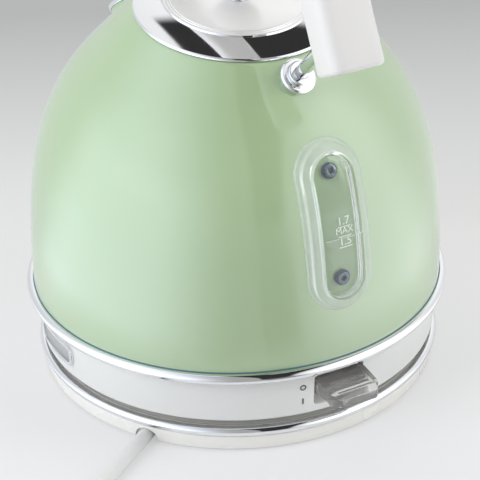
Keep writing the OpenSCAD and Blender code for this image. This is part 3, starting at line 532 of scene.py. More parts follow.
# rough is the range it is wiped between, tone a second colour if it has one, depth the strength of the grain
def finish(name, color, rough, tone, mottle, grainScale, depth, stretch=(1, 1, 1), dusty=0.0, **sockets):
    material, tree, bsdf, coords = newMaterial(name)
    wiped = placeGroup(tree, handling, Vector=coords, Scale=mottle, Low=rough[0], High=rough[1])
    link(tree, wiped.outputs["Value"], bsdf.inputs["Roughness"])
    if tone:
        shown = mixColor(tree, wiped.outputs["Mask"], color, tone)
        if dusty:
            specks = placeGroup(tree, dust, Vector=coords, Amount=dusty)
            shown = mixColor(tree, specks.outputs["Mask"], shown, dustColor)
        link(tree, shown, bsdf.inputs["Base Color"])
    else:
        setInputs(bsdf, Base_Color=rgba(color))
    lines = placeGroup(tree, grain, Vector=coords, Stretch=stretch, Scale=grainScale)
    bump = addNode(tree, "Bump", {"Strength": depth, "Distance": 0.001, "Height": lines})
    link(tree, bump.outputs[0], bsdf.inputs["Normal"])
    setInputs(bsdf, **sockets)
    return material


def makeClear(name, color, rough, ior, passes=1.0):
    return finish(name, color, rough, None, 60, 300, 0.015, Transmission_Weight=passes, IOR=ior)


looks = {
    "enamel": finish("greenEnamel", (0.37, 0.505, 0.27), (0.42, 0.48), (0.36, 0.495, 0.265), 18, 260, 0.02,
                     dusty=0.25, Coat_Weight=1.0, Coat_Roughness=0.1, Coat_IOR=1.9, IOR=1.6,
                     Specular_IOR_Level=0.8, Specular_Tint=(0.72, 0.76, 1.0, 1.0)),
    "white": finish("whitePlastic", (0.84, 0.835, 0.80), (0.22, 0.30), (0.83, 0.825, 0.79), 25, 1400, 0.03,
                    dusty=0.2, Coat_Weight=0.25, Coat_Roughness=0.12),
    "satinWhite": finish("satinWhite", (0.74, 0.735, 0.72), (0.34, 0.42), (0.73, 0.725, 0.71), 25, 1800, 0.06,
                         dusty=0.15, Subsurface_Weight=0.04),
    "beige": finish("beigePlastic", (0.56, 0.52, 0.44), (0.45, 0.55), (0.54, 0.50, 0.43), 40, 1500, 0.08),
    "black": finish("blackPlastic", (0.022, 0.022, 0.024), (0.42, 0.52), (0.028, 0.028, 0.03), 40, 1500, 0.1),
    "chrome": finish("chrome", (0.86, 0.87, 0.88), (0.035, 0.06), (0.84, 0.85, 0.86), 30, 120, 0.004,
                     Metallic=1.0),
    "lidChrome": finish("lidChrome", (0.86, 0.865, 0.87), (0.04, 0.07), (0.84, 0.845, 0.85), 22, 90, 0.006,
                        Metallic=1.0),
    "lidDisc": finish("satinLidDisc", (0.90, 0.895, 0.885), (0.20, 0.25), (0.89, 0.885, 0.875), 22, 90, 0.006,
                      Metallic=0.55),
    "steel": finish("brushedSteel", (0.60, 0.60, 0.60), (0.24, 0.34), (0.56, 0.56, 0.57), 20, 500, 0.12,
                    (1, 12, 1), Metallic=1.0),
    "blued": finish("bluedSteel", (0.20, 0.24, 0.30), (0.26, 0.36), (0.24, 0.28, 0.34), 120, 900, 0.05,
                    Metallic=0.8),
    "zinc": finish("zincSteel", (0.62, 0.63, 0.65), (0.28, 0.42), (0.55, 0.56, 0.57), 120, 900, 0.05,
                   Metallic=1.0),
    "brass": finish("brass", (0.72, 0.52, 0.20), (0.22, 0.34), (0.62, 0.44, 0.17), 90, 700, 0.05,
                    Metallic=1.0),
    "rubber": finish("rubber", (0.03, 0.032, 0.036), (0.6, 0.72), (0.04, 0.042, 0.045), 60, 1600, 0.12),
    "darkSeal": finish("darkSeal", (0.03, 0.05, 0.095), (0.3, 0.42), (0.045, 0.065, 0.11), 200, 1600, 0.08),
    # dark blue for the line at the dome's foot: painted shade of the seam
    "seamShadeBlue": finish("seamShadeBlue", (0.07, 0.15, 0.20), (0.3, 0.4), (0.08, 0.16, 0.21), 200, 1600, 0.06),
    "silicone": finish("silicone", (0.55, 0.55, 0.52), (0.4, 0.5), (0.52, 0.52, 0.5), 60, 900, 0.05,
                       Subsurface_Weight=0.1),
    "amber": finish("amberLamp", (0.75, 0.19, 0.05), (0.25, 0.3), (0.7, 0.17, 0.04), 60, 900, 0.02),
    "print": finish("printedMark", (0.09, 0.10, 0.11), (0.5, 0.6), (0.11, 0.12, 0.13), 200, 2500, 0.05),
    "whitePrint": finish("whitePrint", (0.72, 0.78, 0.74), (0.45, 0.55), (0.68, 0.74, 0.70), 200, 2500, 0.05),
    "cordSkin": finish("cordSkin", (0.74, 0.74, 0.73), (0.42, 0.52), (0.71, 0.71, 0.70), 60, 1500, 0.08),
    "wire": finish("wireSkin", (0.16, 0.10, 0.04), (0.35, 0.45), (0.13, 0.08, 0.03), 60, 1500, 0.05),
}
looks["clear"] = makeClear("clearPlastic", (0.72, 0.735, 0.72), (0.03, 0.06), 1.46)
# a pale, milky look for the window's rim: painted reflection of the bright room on its bevels
looks["paleSheen"] = makeClear("paleRimSheen", (0.90, 0.95, 0.92), (0.05, 0.09), 1.5, 0.66)
looks["smoke"] = makeClear("smokePlastic", (0.82, 0.81, 0.79), (0.02, 0.05), 1.5, 0.9)


# power base
print("power base")
base = {"wallR": 95.0, "footR": 94.0, "edge": 1.0, "deck": 11.0, "wall": 2.4, "deckT": 1.8, "hubR": 50.0,
        "hubRise": 3.0, "hubT": 2.4, "connectorR": 16.3, "beadZ": 8.4, "beadH": 4.4, "beadOut": 1.2,
        "beadInR": 92.7, "cordAngle": 215.5, "notchR": 6.0, "screwR": 80.0,
        "screwAngles": (65, 155, 245, 335), "screwZ": 0.59}
cover = {"screwR": 85.6, "screwAngles": (30, 150, 250), "screwZ": 15.89}
boss = {"r": 3.4, "base": (3.3, 9.8), "cover": (18.6, 25.4)}


def joined(obj, *others):
    with reworked(obj) as bm:
        for other in others:
            bm.from_mesh(other.data)
            bpy.data.objects.remove(other)
    return obj


def rod(name, r, low, high, place=None, steps=64, edge=0.3):
    return lathe(name, softened([(0, low, 0), (r, low), (r, high), (0, high, 0)], edge), place, steps)


def withBosses(housing, owner, span):
    return joined(housing, *[rod("boss", boss["r"], *span, turnZ(a) @ shift(owner["screwR"], 0, 0), 32)
                             for a in owner["screwAngles"]])


def makeBaseHousing():
    b = base
    wall, deck, hub, top = b["wallR"], b["deck"], b["deck"] + b["hubRise"], b["beadZ"] - 0.1
    inner, under, foot = wall - b["wall"], deck - b["deckT"], b["footR"] - b["wall"]
    outline = softened([
        (b["footR"], b["edge"], 0.5), (wall, top, 0.5), (inner, top, 0.2), (inner, deck, 0.4),
        (inner - 1.6, deck + 0.9, 1.0), (inner - 3.4, deck, 1.0), (b["hubR"] + 4, deck, 2.0),
        (b["hubR"], hub, 1.5), (b["connectorR"], hub, 0.6), (b["connectorR"], hub - b["hubT"], 0),
        (b["hubR"] - 1, hub - b["hubT"], 1.0), (b["hubR"] + 3, under, 1.0), (foot, under, 1.0),
        (foot, b["edge"], 0.3)], 0.3)
    housing = lathe("base_shell", outline, steps=288)
    notch = rod("notch", b["notchR"], -14, 14, turnZ(b["cordAngle"]) @ shift(wall, 0, b["edge"]) @ turnY(90))
    return withBosses(carve(housing, notch), base, boss["base"])


finished(makeBaseHousing(), "white", "power_base", "base_housing")


# the outward half of an oval section, from below to above
def bowed(r, z, deep, half):
    return [(r + deep * cos(radians(a)), z + half * sin(radians(a))) for a in range(-90, 91, 9)]


def makeBead():
    half, r = base["beadH"] / 2, base["beadInR"]
    low, high = base["beadZ"], base["beadZ"] + base["beadH"]
    bow = bowed(base["wallR"] - half + base["beadOut"], low + half, half, half)
    return lathe("base_bead", [(r, low)] + bow + [(r, high)], steps=288)


finished(makeBead(), "chrome", "power_base", "base_trim_ring", angle=40)


# runs a geometry tree on obj, with its inputs by label
def grown(obj, tree, **values):
    change = modify(obj, "NODES", node_group=tree)
    for item in tree.interface.items_tree:
        if item.in_out == "INPUT" and item.name in values:
            change[item.identifier] = values[item.name]
    return applied(obj)


# ends a geometry tree: real mesh in one material
def ended(tree, geometry, metal):
    solid = addNode(tree, "GeometryNodeRealizeInstances", {0: geometry})
    painted = addNode(tree, "GeometryNodeSetMaterial", {"Geometry": solid, "Material": metal})
    addNode(tree, "NodeGroupOutput", {0: painted})


# screws: one small tree sets the same screw on every given point, each turned its own way
def screwTree():
    tree, given = newGroup("screwsOnPoints", [
        ("Geometry", "Geometry"), ("Screw", "Object"), ("Metal", "Material"), ("Twist", "Float"),
        ("Seed", "Int")],
        [("Geometry", "Geometry")], "GeometryNodeTree")
    info = addNode(tree, "GeometryNodeObjectInfo", {"Object": given["Screw"]})
    chance = addNode(tree, "FunctionNodeRandomValue", {3: given["Twist"], "Seed": given["Seed"]},
                     data_type="FLOAT")
    turn = addNode(tree, "CombineXYZ", {2: chance.outputs[1]})
    spread = addNode(tree, "GeometryNodeInstanceOnPoints", {
        "Points": given["Geometry"], "Instance": info.outputs["Geometry"], "Rotation": turn})
    ended(tree, spread, given["Metal"])
    return tree


screw = {"headR": 2.8, "headH": 1.0, "r": 1.2, "l": 5.7, "slot": (3.4, 0.7, 0.5), "twist": 3.1}


def makeScrew():
    body = lathe("screw", softened([
        (0, 0, 0), (screw["headR"], 0, 0.5), (screw["headR"], screw["headH"], 0.15),
        (screw["r"], screw["headH"], 0), (screw["r"], screw["l"], 0.3), (0, screw["l"], 0)], 0.2), steps=32)
    x, y, deep = screw["slot"][0] / 2, screw["slot"][1] / 2, screw["slot"][2]
    cuts = [block("slot", [(-x, -y), (x, -y), (x, y), (-x, y)], -deep, deep, turnZ(a)) for a in (0, 90)]
    return carve(body, *cuts)


screwsOnPoints, oneScrew = screwTree(), makeScrew()


def makeScrews(name, owner, seed):
    r, spots = owner["screwR"], [radians(a) for a in owner["screwAngles"]]
    obj = addMesh(name, [(r * cos(a), r * sin(a), owner["screwZ"]) for a in spots], [], welded=False)
    return grown(obj, screwsOnPoints, Screw=oneScrew, Metal=looks["zinc"], Twist=screw["twist"], Seed=seed)


finished(makeScrews("base_screw_row", base, 3), "zinc", "power_base", "base_screws")
finished(makeScrews("cover_screw_row", cover, 5), "zinc", "kettle", "housing_screws")
bpy.data.objects.remove(oneScrew)


# the sleeve that keeps the cord from kinking, with a groove every few millimetres
sleeve = {"l": 28.0, "thick": 4.0, "thin": 3.42, "grooves": 7, "cut": 0.5, "z": (4.9, 3.6), "from": 32}


def makeSleeve():
    length, grooves, (z, endZ) = sleeve["l"], sleeve["grooves"], sleeve["z"]
    outer = []
    for i in range(grooves):
        for t, deep in ((0.0, 0), (0.6, 0), (0.66, 1), (0.9, 1), (0.96, 0)):
            s = (i + t) / grooves
            r = sleeve["thick"] + (sleeve["thin"] - sleeve["thick"]) * s
            outer.append((r - deep * sleeve["cut"] * (1 - 0.5 * s), length * s))
    outer.append((sleeve["thin"], length))
    tilt = degrees(atan((z - endZ) / length))
    place = turnZ(base["cordAngle"]) @ shift(base["footR"] - sleeve["from"], 0, z) @ turnY(90 + tilt)
    return lathe("cord_relief", [(0, 0)] + outer + [(0, length)], place, 48)


finished(makeSleeve(), "cordSkin", "power_base", "cord_sleeve")
refined("power_base", ("base_bottom_plate", "white", 0.3), ("base_feet", "rubber", 0.6),
        ("base_connector", "black", 0.4), ("base_contacts", "brass", 0.08), ("base_wires", "wire", 0.0))
lying = refined("power_base", ("coil_tie", "rubber", 0.2), ("plug_body", "white", 0.8),
                ("plug_pins", "chrome", 0.25))
finished(mainsCord, "cordSkin", "power_base", "cord", "cord_coil", "cord_tail")
# polish doesn't mirror what lies on the table
for piece in (mainsCord, *lying):
    piece.visible_glossy = False


# dome
print("dome")
dome = {"footR": 96.7, "footZ": 39.2, "curveZ": 43.0, "rise": 112.6, "neckR": 65.3, "footPull": 60.7,
        "neckPull": 33.0, "wall": 1.0, "lidShift": 6.4, "lidZ": 175.2, "lidTilt": 8.0, "cutGap": 0.4,
        "cutEase": (0.3, 0.15), "slopeSum": 220.9, "slopeSteps": 20}
neckZ = dome["curveZ"] + dome["rise"]
rootHalf = sqrt(0.5)


# halves the span from low to high until test changes from true to false
def turningPoint(test, low, high, steps=40):
    for _ in range(steps):
        mid = (low + high) / 2
        low, high = (mid, high) if test(mid) else (low, mid)
    return (low + high) / 2


def domeCurve(t):
    ends = ((dome["footR"], dome["curveZ"]), (dome["footR"], dome["curveZ"] + dome["footPull"]),
            (dome["neckR"] + dome["neckPull"] * rootHalf, neckZ - dome["neckPull"] * rootHalf),
            (dome["neckR"], neckZ))
    shares = ((1 - t) ** 3, 3 * (1 - t) ** 2 * t, 3 * (1 - t) * t * t, t ** 3)
    return tuple(sum(s * p[k] for s, p in zip(shares, ends)) for k in (0, 1))


def heightOnCurve(z):
    return turningPoint(lambda t: domeCurve(t)[1] < z, 0.0, 1.0)


# points of the outline with their outward directions, from the foot up to the end of the curve
def domeRows(steps=72):
    rows = [((dome["footR"], dome["footZ"]), (1.0, 0.0))]
    for i in range(steps + 1):
        t = i / steps
        a, b = domeCurve(max(0, t - 1e-4)), domeCurve(min(1, t + 1e-4))
        along = Vector((b[0] - a[0], b[1] - a[1])).normalized()
        rows.append((domeCurve(t), (along.y, -along.x)))
    return rows


outlineRows = domeRows()


# how far a point lies outside the dome's face
def outOfDome(p):
    r, z = hypot(p[0], p[1]), p[2]
    if r - z >= dome["neckR"] - neckZ - 1e-9 and z > dome["curveZ"]:
        def isShort(t):
            (cr, cz), (ca, cb) = domeCurve(t), domeCurve(min(1, t + 1e-5))
            return (r - cr) * (ca - cr) + (z - cz) * (cb - cz) > 0

        cr, cz = domeCurve(turningPoint(isShort, 0.0, 1.0, 22))
        far = hypot(r - cr, z - cz)
        return far if r > cr or (r >= cr - 1e-9 and z > cz) else -far
    if z <= dome["curveZ"]:
        return r - dome["footR"]
    return (r + z - dome["slopeSum"]) * rootHalf


# height at which the sloping part, moved out by out, meets the plane under the lid
def cutHeight(angle, out, drop):
    lean, turn = radians(dome["lidTilt"]), sin(angle)
    total = dome["slopeSum"] + out * sqrt(2)
    s, c = sin(lean), cos(lean)
    return (-drop + dome["lidShift"] * s + dome["lidZ"] * c + s * turn * total) / (c + s * turn)


def domeLoop(angle):
    loop, steps, (ease, chamfer) = [], dome["slopeSteps"], dome["cutEase"]
    for out, order in ((0.0, 1), (-dome["wall"], -1)):
        rows = [(p[0] + out * n[0], p[1] + out * n[1]) for p, n in outlineRows]
        top = cutHeight(angle, out, dome["cutGap"])
        start = rows[-1]
        for i in range(1, steps + 1):
            z = start[1] + (top - ease - start[1]) * i / steps
            rows.append((start[0] + start[1] - z, z))
        rows.append((start[0] + start[1] - top - chamfer * order, top))
        loop += rows[::order]
    return loop


# spout: a cone that rises out of the dome, cut slantwise at the mouth
spout = {"out": 16.2, "rootR": 21.0, "in": 27.6, "drop": 33.0, "narrow": 9.6, "rise": 24.0, "slant": 39.0,
         "wall": 1.4, "skin": -0.8, "lipW": 2.4, "lipT": 0.75, "mouthGap": 0.6, "weld": 2.6, "weldSink": 0.06,
         "weldRows": 8, "outerRows": 14, "innerRows": 12, "toolL": 70}
spoutZ = neckZ - spout["drop"]
spoutY = domeCurve(heightOnCurve(spoutZ))[0] - spout["in"]
spoutReach = dome["footR"] + spout["out"]
underY = spoutY + spout["rootR"] * sin(radians(spout["rise"]))
underZ = spoutZ - spout["rootR"] * cos(radians(spout["rise"]))
tipZ = underZ + (spoutReach - underY) * tan(radians(spout["rise"] + spout["narrow"]))
spoutFrame = shift(0, spoutY, spoutZ) @ turnX(spout["rise"] - 90)
mouthInverse = (shift(0, spoutReach, tipZ) @ turnX(-spout["slant"])).inverted()
narrowing = radians(spout["narrow"])


# a point on the cone: angle round its axis, way along it, and how far it is grown
def onCone(angle, way, out):
    r = spout["rootR"] + out - way * tan(narrowing)
    return spoutFrame @ Vector((r * cos(angle), r * sin(angle), way))


def wayToMouth(angle, out, drop):
    return turningPoint(lambda w: (mouthInverse @ onCone(angle, w, out)).z < -drop, 0, 120)


def wayToDome(angle, out, depth):
    return turningPoint(lambda w: outOfDome(onCone(angle, w, out)) < depth, 0, 80)


def domeNormal(p, step=0.05):
    here = outOfDome(p)
    grow = Vector([outOfDome(p + Vector(d)) - here for d in ((step, 0, 0), (0, step, 0), (0, 0, step))])
    return grow.normalized()


# points along the cone at one angle, from one way to another
def alongCone(angle, start, end, out, rows):
    return [onCone(angle, start + (end - start) * k / rows, out) for k in range(rows + 1)]


def makeSpout(steps=144):
    loops = []
    skin, f, gap, welds = spout["skin"], spout["weld"], spout["mouthGap"], spout["weldRows"]
    inner = -spout["wall"] + skin
    for a in fullTurn(steps):
        root = wayToDome(a, skin, 0.0)
        foot = onCone(a, root, skin)
        up = (onCone(a, 60, skin) - onCone(a, 0, skin)).normalized()
        normal = domeNormal(foot)
        away = foot - spoutFrame @ Vector((0, 0, root))
        away = (away - away.dot(normal) * normal).normalized()
        high, low = foot + up * f, foot + away * f
        low = low - (outOfDome(low) + spout["weldSink"]) * normal
        loop = [low] + [bend(low, foot, high, k / welds) for k in range(1, welds)]
        start, end = root + f / cos(narrowing), wayToMouth(a, skin, gap)
        loop += alongCone(a, start, end, skin, spout["outerRows"])
        start, end = wayToMouth(a, inner, gap), wayToDome(a, inner, -dome["wall"])
        loops.append(loop + alongCone(a, start, end, inner, spout["innerRows"]))
    return loft("spout_shell", loops + [loops[0]], capped=False)


def makeLip(steps=144):
    t, w = spout["lipT"], spout["lipW"]
    section = softened([(-t, w, 0.1), (0, w, 0.3), (0, 0, 0.35), (-t, 0, 0.35)], 0.3)
    loops = [[onCone(a, wayToMouth(a, out, drop), out) for out, drop in section] for a in fullTurn(steps)]
    return loft("mouth_lip", loops + [loops[0]], capped=False)


def makeDome():
    shell = spun("dome_shell", domeLoop, steps=288)
    r, length = spout["rootR"] - spout["wall"], spout["toolL"]
    cone = [(0, 0), (r, 0), (r - length * tan(narrowing), length), (0, length)]
    return carve(shell, lathe("cone_tool", cone, spoutFrame, 144))


finished(makeDome(), "enamel", "kettle", "body_shell", angle=40)
finished(makeSpout(), "enamel", "kettle", "spout", angle=40)
finished(makeLip(), "chrome", "kettle", "spout_lip", angle=40)


# ring and white housing under the dome
print("lower housing")
band = {"topR": 95.4, "footR": 94.3, "z": 16.3, "h": 21.9, "wall": 2.2, "flangeZ": 18.5, "flangeT": 1.5,
        "flangeInR": 82.0, "slotW": 25.2, "slotH": 16.2, "slotRound": 2.0}
ring = {"r": 97.6, "bow": 2.4, "z": 38.3, "h": 5.0, "lipR": 93.6, "lipT": 0.8, "backR": 96.8}
slotZ = band["flangeZ"] + band["flangeT"] + band["slotH"] / 2
bandMidZ = band["z"] + band["h"] / 2 + 1
ringTop = ring["z"] + ring["h"]


def makeRing():
    low, lip, half = ring["z"], ring["z"] + ring["lipT"], ring["h"] / 2
    return lathe("foot_ring", [(ring["lipR"], low)] + bowed(ring["r"], low + half, ring["bow"], half) + [
        (ring["backR"], ringTop), (ring["backR"], lip), (ring["lipR"], lip)], steps=288)


finished(makeRing(), "chrome", "kettle", "body_ring", angle=40)

# a thin dark blue line where the dome meets the ring: painted shade of the gap between them
seamShade = [(0, -0.5), (0.06, -0.5), (0.06, 0), (0.4, 0.02), (0.36, 0.2), (0.2, 0.34), (0, 0.4)]
seamShade = [(dome["footR"] + 0.03 + out, ringTop + up) for out, up in seamShade]
finished(lathe("foot_seal", seamShade, steps=288), "seamShadeBlue", "kettle", angle=40)


def bandR(z):
    return band["footR"] + (band["topR"] - band["footR"]) * (z - band["z"]) / band["h"]


def makeLowerHousing():
    low, high, flange = band["z"], band["z"] + band["h"], band["flangeZ"] + band["flangeT"]
    foot, top, flangeR = band["footR"], band["topR"], band["flangeInR"]
    inner = foot - band["wall"]
    housing = lathe("lower_shell", softened([
        (foot - 0.5, low, 0.2), (foot, low + 0.6, 0.5), (top, high, 0.5), (top - band["wall"], high, 0.2),
        (inner, flange, 0.8), (flangeR, flange, 0.3), (flangeR, band["flangeZ"], 0.3),
        (inner, band["flangeZ"], 0.5), (inner, low, 0.2)], 0.3), steps=288)
    opening = block("opening", roundedRect(band["slotW"], band["slotH"], band["slotRound"], 8), 84, 112,
                    shift(0, 0, slotZ) @ turnX(90))
    return withBosses(carve(housing, opening), cover, boss["cover"])


finished(makeLowerHousing(), "satinWhite", "kettle", "lower_housing", angle=30)


# a solid of the housing's outer face grown by out, to trim what lies on it
def bandTool(out):
    low, high = band["z"] + 1, ring["z"] - 0.5
    return lathe("band_tool", [(60, low), (bandR(low) + out, low), (bandR(high) + out, high), (60, high)],
                 steps=360)


def onBand(obj, low, high):
    carve(obj, bandTool(high), mode="INTERSECT")
    return carve(obj, bandTool(low))


badge = {"w": 32.0, "h": 11.6, "round": 4, "out": 1.2, "rim": 1.8, "gap": 0.1, "innerRound": 2.4, "at": -85,
         "z": bandMidZ - 0.2}


def makeBadge():
    place = shift(badge["at"], 0, badge["z"]) @ turnZ(-90) @ turnX(90)

    def plate(name, inset, r, low, high):
        return block(name, roundedRect(badge["w"] - inset, badge["h"] - inset, r, 8), low, high, place)

    inset, r, gap = 2 * badge["rim"], badge["innerRound"], badge["gap"]
    rim = carve(plate("badge_rim", 0, badge["round"], 0, 30), plate("hole", inset, r, -5, 40))
    onBand(rim, gap, badge["out"])
    blank = onBand(plate("badge_blank", inset + 2 * gap, r - gap, 0, 30), gap, badge["out"] / 2)
    return bevelled(rim, 0.35, 3, 50), bevelled(blank, 0.2, 2, 50)


badgeRim, badgeBlank = makeBadge()
finished(badgeRim, "chrome", "kettle", "badge_frame", angle=40)
finished(badgeBlank, "steel", "kettle", "badge_plate", angle=40)

mark = {"angle": 10.8, "apart": 3.7, "r": 1.5, "holeR": 0.85, "barW": 0.66, "thick": (0.02, 0.12)}


def makeMarks():
    lower, upper = [turnZ(-mark["angle"]) @ shift(0, -85, bandMidZ - 1 + way * mark["apart"]) @ turnX(90)
                    for way in (-1, 1)]
    r, hole, x = mark["r"], mark["holeR"], mark["barW"] / 2
    bar = block("rocker_marks", [(-x, -r), (x, -r), (x, r), (-x, r)], 0, 20, lower)
    zero = lathe("zero", [(hole, 0), (r, 0), (r, 20), (hole, 20)], upper, 48)
    return onBand(joined(bar, zero), *mark["thick"])


finished(makeMarks(), "print", "kettle", "switch_marks")


# switch
print("switch")
lever = {"width": 24.0, "pivotY": 80.4, "pivotZ": 27.9, "out": 17.0, "corner": 8.0, "boreR": 1.6, "ridges": 4,
         "pitch": 2.4, "ridgeFrom": 4.6, "ridgeR": 0.8, "ridgeUp": 4.95, "slope": 0.1, "edge": 3.6}


def makeLever():
    tip, foot, back, z = band["topR"] + lever["out"], lever["pivotY"], band["topR"], lever["pivotZ"]
    side = softened([
        (foot - 4, -3.6, 1.5), (foot - 4, 5, 1.0), (foot + 4, 6.4, 1.5), (back + 1, 6.2, 1.0),
        (tip - 3.9, 5, 2.5), (tip - 1.2, 3.4, 1.6), (tip, 1.1, 1.0), (tip - 1, -0.9, 0.8),
        (tip - 3.8, -1.3, 1.0), (tip - 9.4, 0, 2.0), (back + 0.6, -0.8, 1.0), (foot + 4, -3.6, 1.5)], 1, 4)
    half, c = lever["width"] / 2, lever["corner"]
    body = block("rocker_lever", side, -half, half, shift(0, 0, z) @ turnZ(-90) @ turnX(90))
    front = -tip - 0.01
    plan = softened([(-half, -70, 0), (half, -70, 0), (half, front, c), (-half, front, c)], c, 10)
    carve(body, block("plan", plan, 0, 60), mode="INTERSECT")
    tools, reach = [], half - lever["edge"]
    for inward in [lever["ridgeFrom"] + lever["pitch"] * i for i in range(lever["ridges"])]:
        place = shift(0, -tip + inward, z + lever["ridgeUp"] + lever["slope"] * inward) @ turnY(90)
        tools.append(rod("groove", lever["ridgeR"], -reach, reach, place, 20, 0.5))
    tools.append(rod("bore", lever["boreR"], -20, 20, shift(0, -foot, z) @ turnY(90), 40, 0))
    return bevelled(carve(body, *tools), 0.8, 4, 40)


finished(makeLever(), "smoke", "switch", "switch_lever", angle=40).visible_shadow = False
refined("kettle", ("switch_cage", "beige", 0.25), ("switch_pin", "zinc", 0.2),
        ("indicator_lamp", "amber", 0.4), ("bottom_cover", "white", 0.25), ("mouth_ring", "steel", 0.12),
        ("heating_plate", "steel", 0.2), ("plate_seal", "silicone", 0.3), ("heat_spreader", "steel", 0.3),
        ("heating_element", "steel", 0.3), ("thermostat_control", "black", 0.4),
        ("kettle_contacts", "brass", 0.15), ("steam_tube", "beige", 0.25), ("gauge_nozzles", "blued", 0.15),
        ("gauge_nuts", "zinc", 0.2), ("rod_washers", "zinc", 0.15), ("rod_nuts", "zinc", 0.25),
        ("filter_holder", "white", 0.25), ("gauge_seals", "darkSeal", 0.2))


# water gauge: rings of a long rounded shape, laid on the dome one inside the other
print("water gauge")
gauge = {"w": 31.5, "l": 76.5, "z": 106.0, "step": 5.3, "out": 5.3, "wall": 1.6, "rimRows": 14,
         "rim": [(0, 0.1), (0, 1.1), (0.15, 1.45), (0.5, 1.6), (1.6, 1.6), (1.8, 1.75), (1.85, 3.3),
                 (2.0, 3.65), (2.4, 3.82)],
         "rise": [(-0.5, 3.82), (-0.15, 3.95), (0, 4.3), (0.1, 4.85), (0.35, 5.2), (0.8, 5.3)],
         "flat": [8, 10, 12, 14, 15.4], "hollow": 1.5}
pocket = {"r": 0.2, "start": (-8.6, -3.7), "x": -7, "y": -3.9, "count": 10, "step": 1.6,
          "turnAt": (8.4, -2.5), "turnR": 1.4, "above": 0.05}


def outwardFrame(z):
    t = heightOnCurve(z)
    a, b = domeCurve(t - 1e-4), domeCurve(t + 1e-4)
    return shift(0, -domeCurve(t)[0], z) @ turnX(90 - degrees(atan2(a[0] - b[0], b[1] - a[1])))


gaugeFrame = outwardFrame(gauge["z"])
gaugeOutward = (gaugeFrame.to_3x3() @ Vector((0, 0, 1))).normalized()


# drops a point of the gauge's plane onto the dome grown by out
def onGauge(x, y, out):
    p = gaugeFrame @ Vector((x, y, out))
    for _ in range(5):
        p = p - (outOfDome(p) - out) * gaugeOutward * 1.02
    return p


def longRound(inset, bends=14, straights=20):
    r, half = gauge["w"] / 2 - inset, (gauge["l"] - gauge["w"]) / 2
    arc = [(r * cos(pi / 2 * k / bends), r * sin(pi / 2 * k / bends)) for k in range(bends + 1)]
    right = [(y, -half - x) for x, y in arc[:-1]]
    right += [(r, -half + 2 * half * k / straights) for k in range(straights + 1)]
    right += [(x, half + y) for x, y in arc[1:]]
    return right + [(-x, y) for x, y in right[-2:0:-1]]


def makeGauge():
    s, out, flat = gauge["step"], gauge["out"], gauge["flat"]
    front = gauge["rim"] + [(s + i, o) for i, o in gauge["rise"]] + [(i, out) for i in flat]
    hollow, inner = s + gauge["hollow"], out - gauge["wall"]
    back = [(i, inner) for i in flat[:0:-1] + [hollow + 0.6]]
    back += [(hollow + 0.15, inner - 0.2), (hollow, inner - 0.6), (hollow, 0.1), (hollow * 0.5, 0.1)]
    rows = [[onGauge(x, y, o) for x, y in longRound(inset)] for inset, o in front + back]
    n, half, count = len(rows[0]), len(rows[0]) // 2, len(rows)
    ends = (len(front) - 1, len(front))
    faces = []
    for i, j in rowPairs(count):
        if i != ends[0]:
            faces += [(i * n + k, i * n + (k + 1) % n, j * n + (k + 1) % n, j * n + k) for k in range(n)]
    for s in [i * n for i in ends]:
        faces += [(s + k, s + k + 1, s + n - k - 1, s + n - k) for k in range(1, half - 1)]
        faces += [(s, s + 1, s + n - 1), (s + half - 1, s + half, s + half + 1)]
    return addMesh("gauge_shell", [p for row in rows for p in row], faces)


gaugeShell = finished(makeGauge(), "clear", "kettle", "gauge_window", angle=50)
gaugeShell.visible_shadow = False
# the rim rows take the pale look, which paints the reflection their bevels catch
gaugeShell.data.materials.append(looks["paleSheen"])
for face in gaugeShell.data.polygons[:len(longRound(0)) * gauge["rimRows"]]:
    face.material_index = 1


def meshFrom(name, curve):
    drawn = placed("drawn", curve)
    mesh = meshOf(drawn)
    bpy.data.objects.remove(drawn)
    return bpy.data.objects.new(name, mesh)


# the lower edge of the sight pocket behind the pane
def makePocketEdge():
    curve = withSettings(bpy.data.curves.new("pocket", "CURVE"), dimensions="3D", bevel_resolution=3,
                         bevel_depth=pocket["r"] * 0.001, use_fill_caps=True)
    points = [pocket["start"]]
    points += [(pocket["x"] + pocket["step"] * k, pocket["y"]) for k in range(pocket["count"])]
    (x, y), r = pocket["turnAt"], pocket["turnR"]
    points += [(x + r * sin(radians(a)), y - r * cos(radians(a))) for a in range(15, 91, 15)]
    spline = curve.splines.new("POLY")
    spline.points.add(len(points) - 1)
    for point, (x, y) in zip(spline.points, points):
        point.co = (*(onGauge(x, y, gauge["out"] + pocket["above"]) * 0.001), 1)
    edge = meshFrom("pocket_edge", curve)
    scene.collection.objects.link(edge)
    return edge


# the edge is drawn as a thin pale line in that look: a painted highlight along it
finished(makePocketEdge(), "paleSheen", "kettle").visible_shadow = False

scale = {"size": 5.0, "wordSize": 0.8, "marks": ((3.6, "1.7"), (-0.6, "MAX"), (-5.4, "1.5")), "textX": 0.6,
         "thick": 0.02, "above": 0.03, "line": (-2.6, 3.8), "lineH": 0.35, "lineDown": 2.6,
         "lineT": (0.01, 0.05)}


def makeScale():
    made = []
    for y, words in scale["marks"]:
        size = scale["size"] * (scale["wordSize"] if words.isalpha() else 1.0)
        text = meshFrom("scale_marks", withSettings(
            bpy.data.curves.new("words", "FONT"), body=words, size=size, align_x="CENTER", align_y="CENTER",
            extrude=scale["thick"], resolution_u=3))
        for v in text.data.vertices:
            out = gauge["out"] + scale["above"] + v.co.z
            v.co = onGauge(v.co.x + scale["textX"], v.co.y + y, out) * 0.001
        (a, b), low = scale["line"], y - scale["lineDown"]
        corners = [(a, low), (b, low), (b, low + scale["lineH"]), (a, low + scale["lineH"])]
        loops = [[onGauge(cx, cy, gauge["out"] + h) for cx, cy in corners] for h in scale["lineT"]]
        made += [text, loft("scale_marks", loops)]
    return joined(made[1], made[0], *made[2:])


finished(makeScale(), "whitePrint", "kettle")


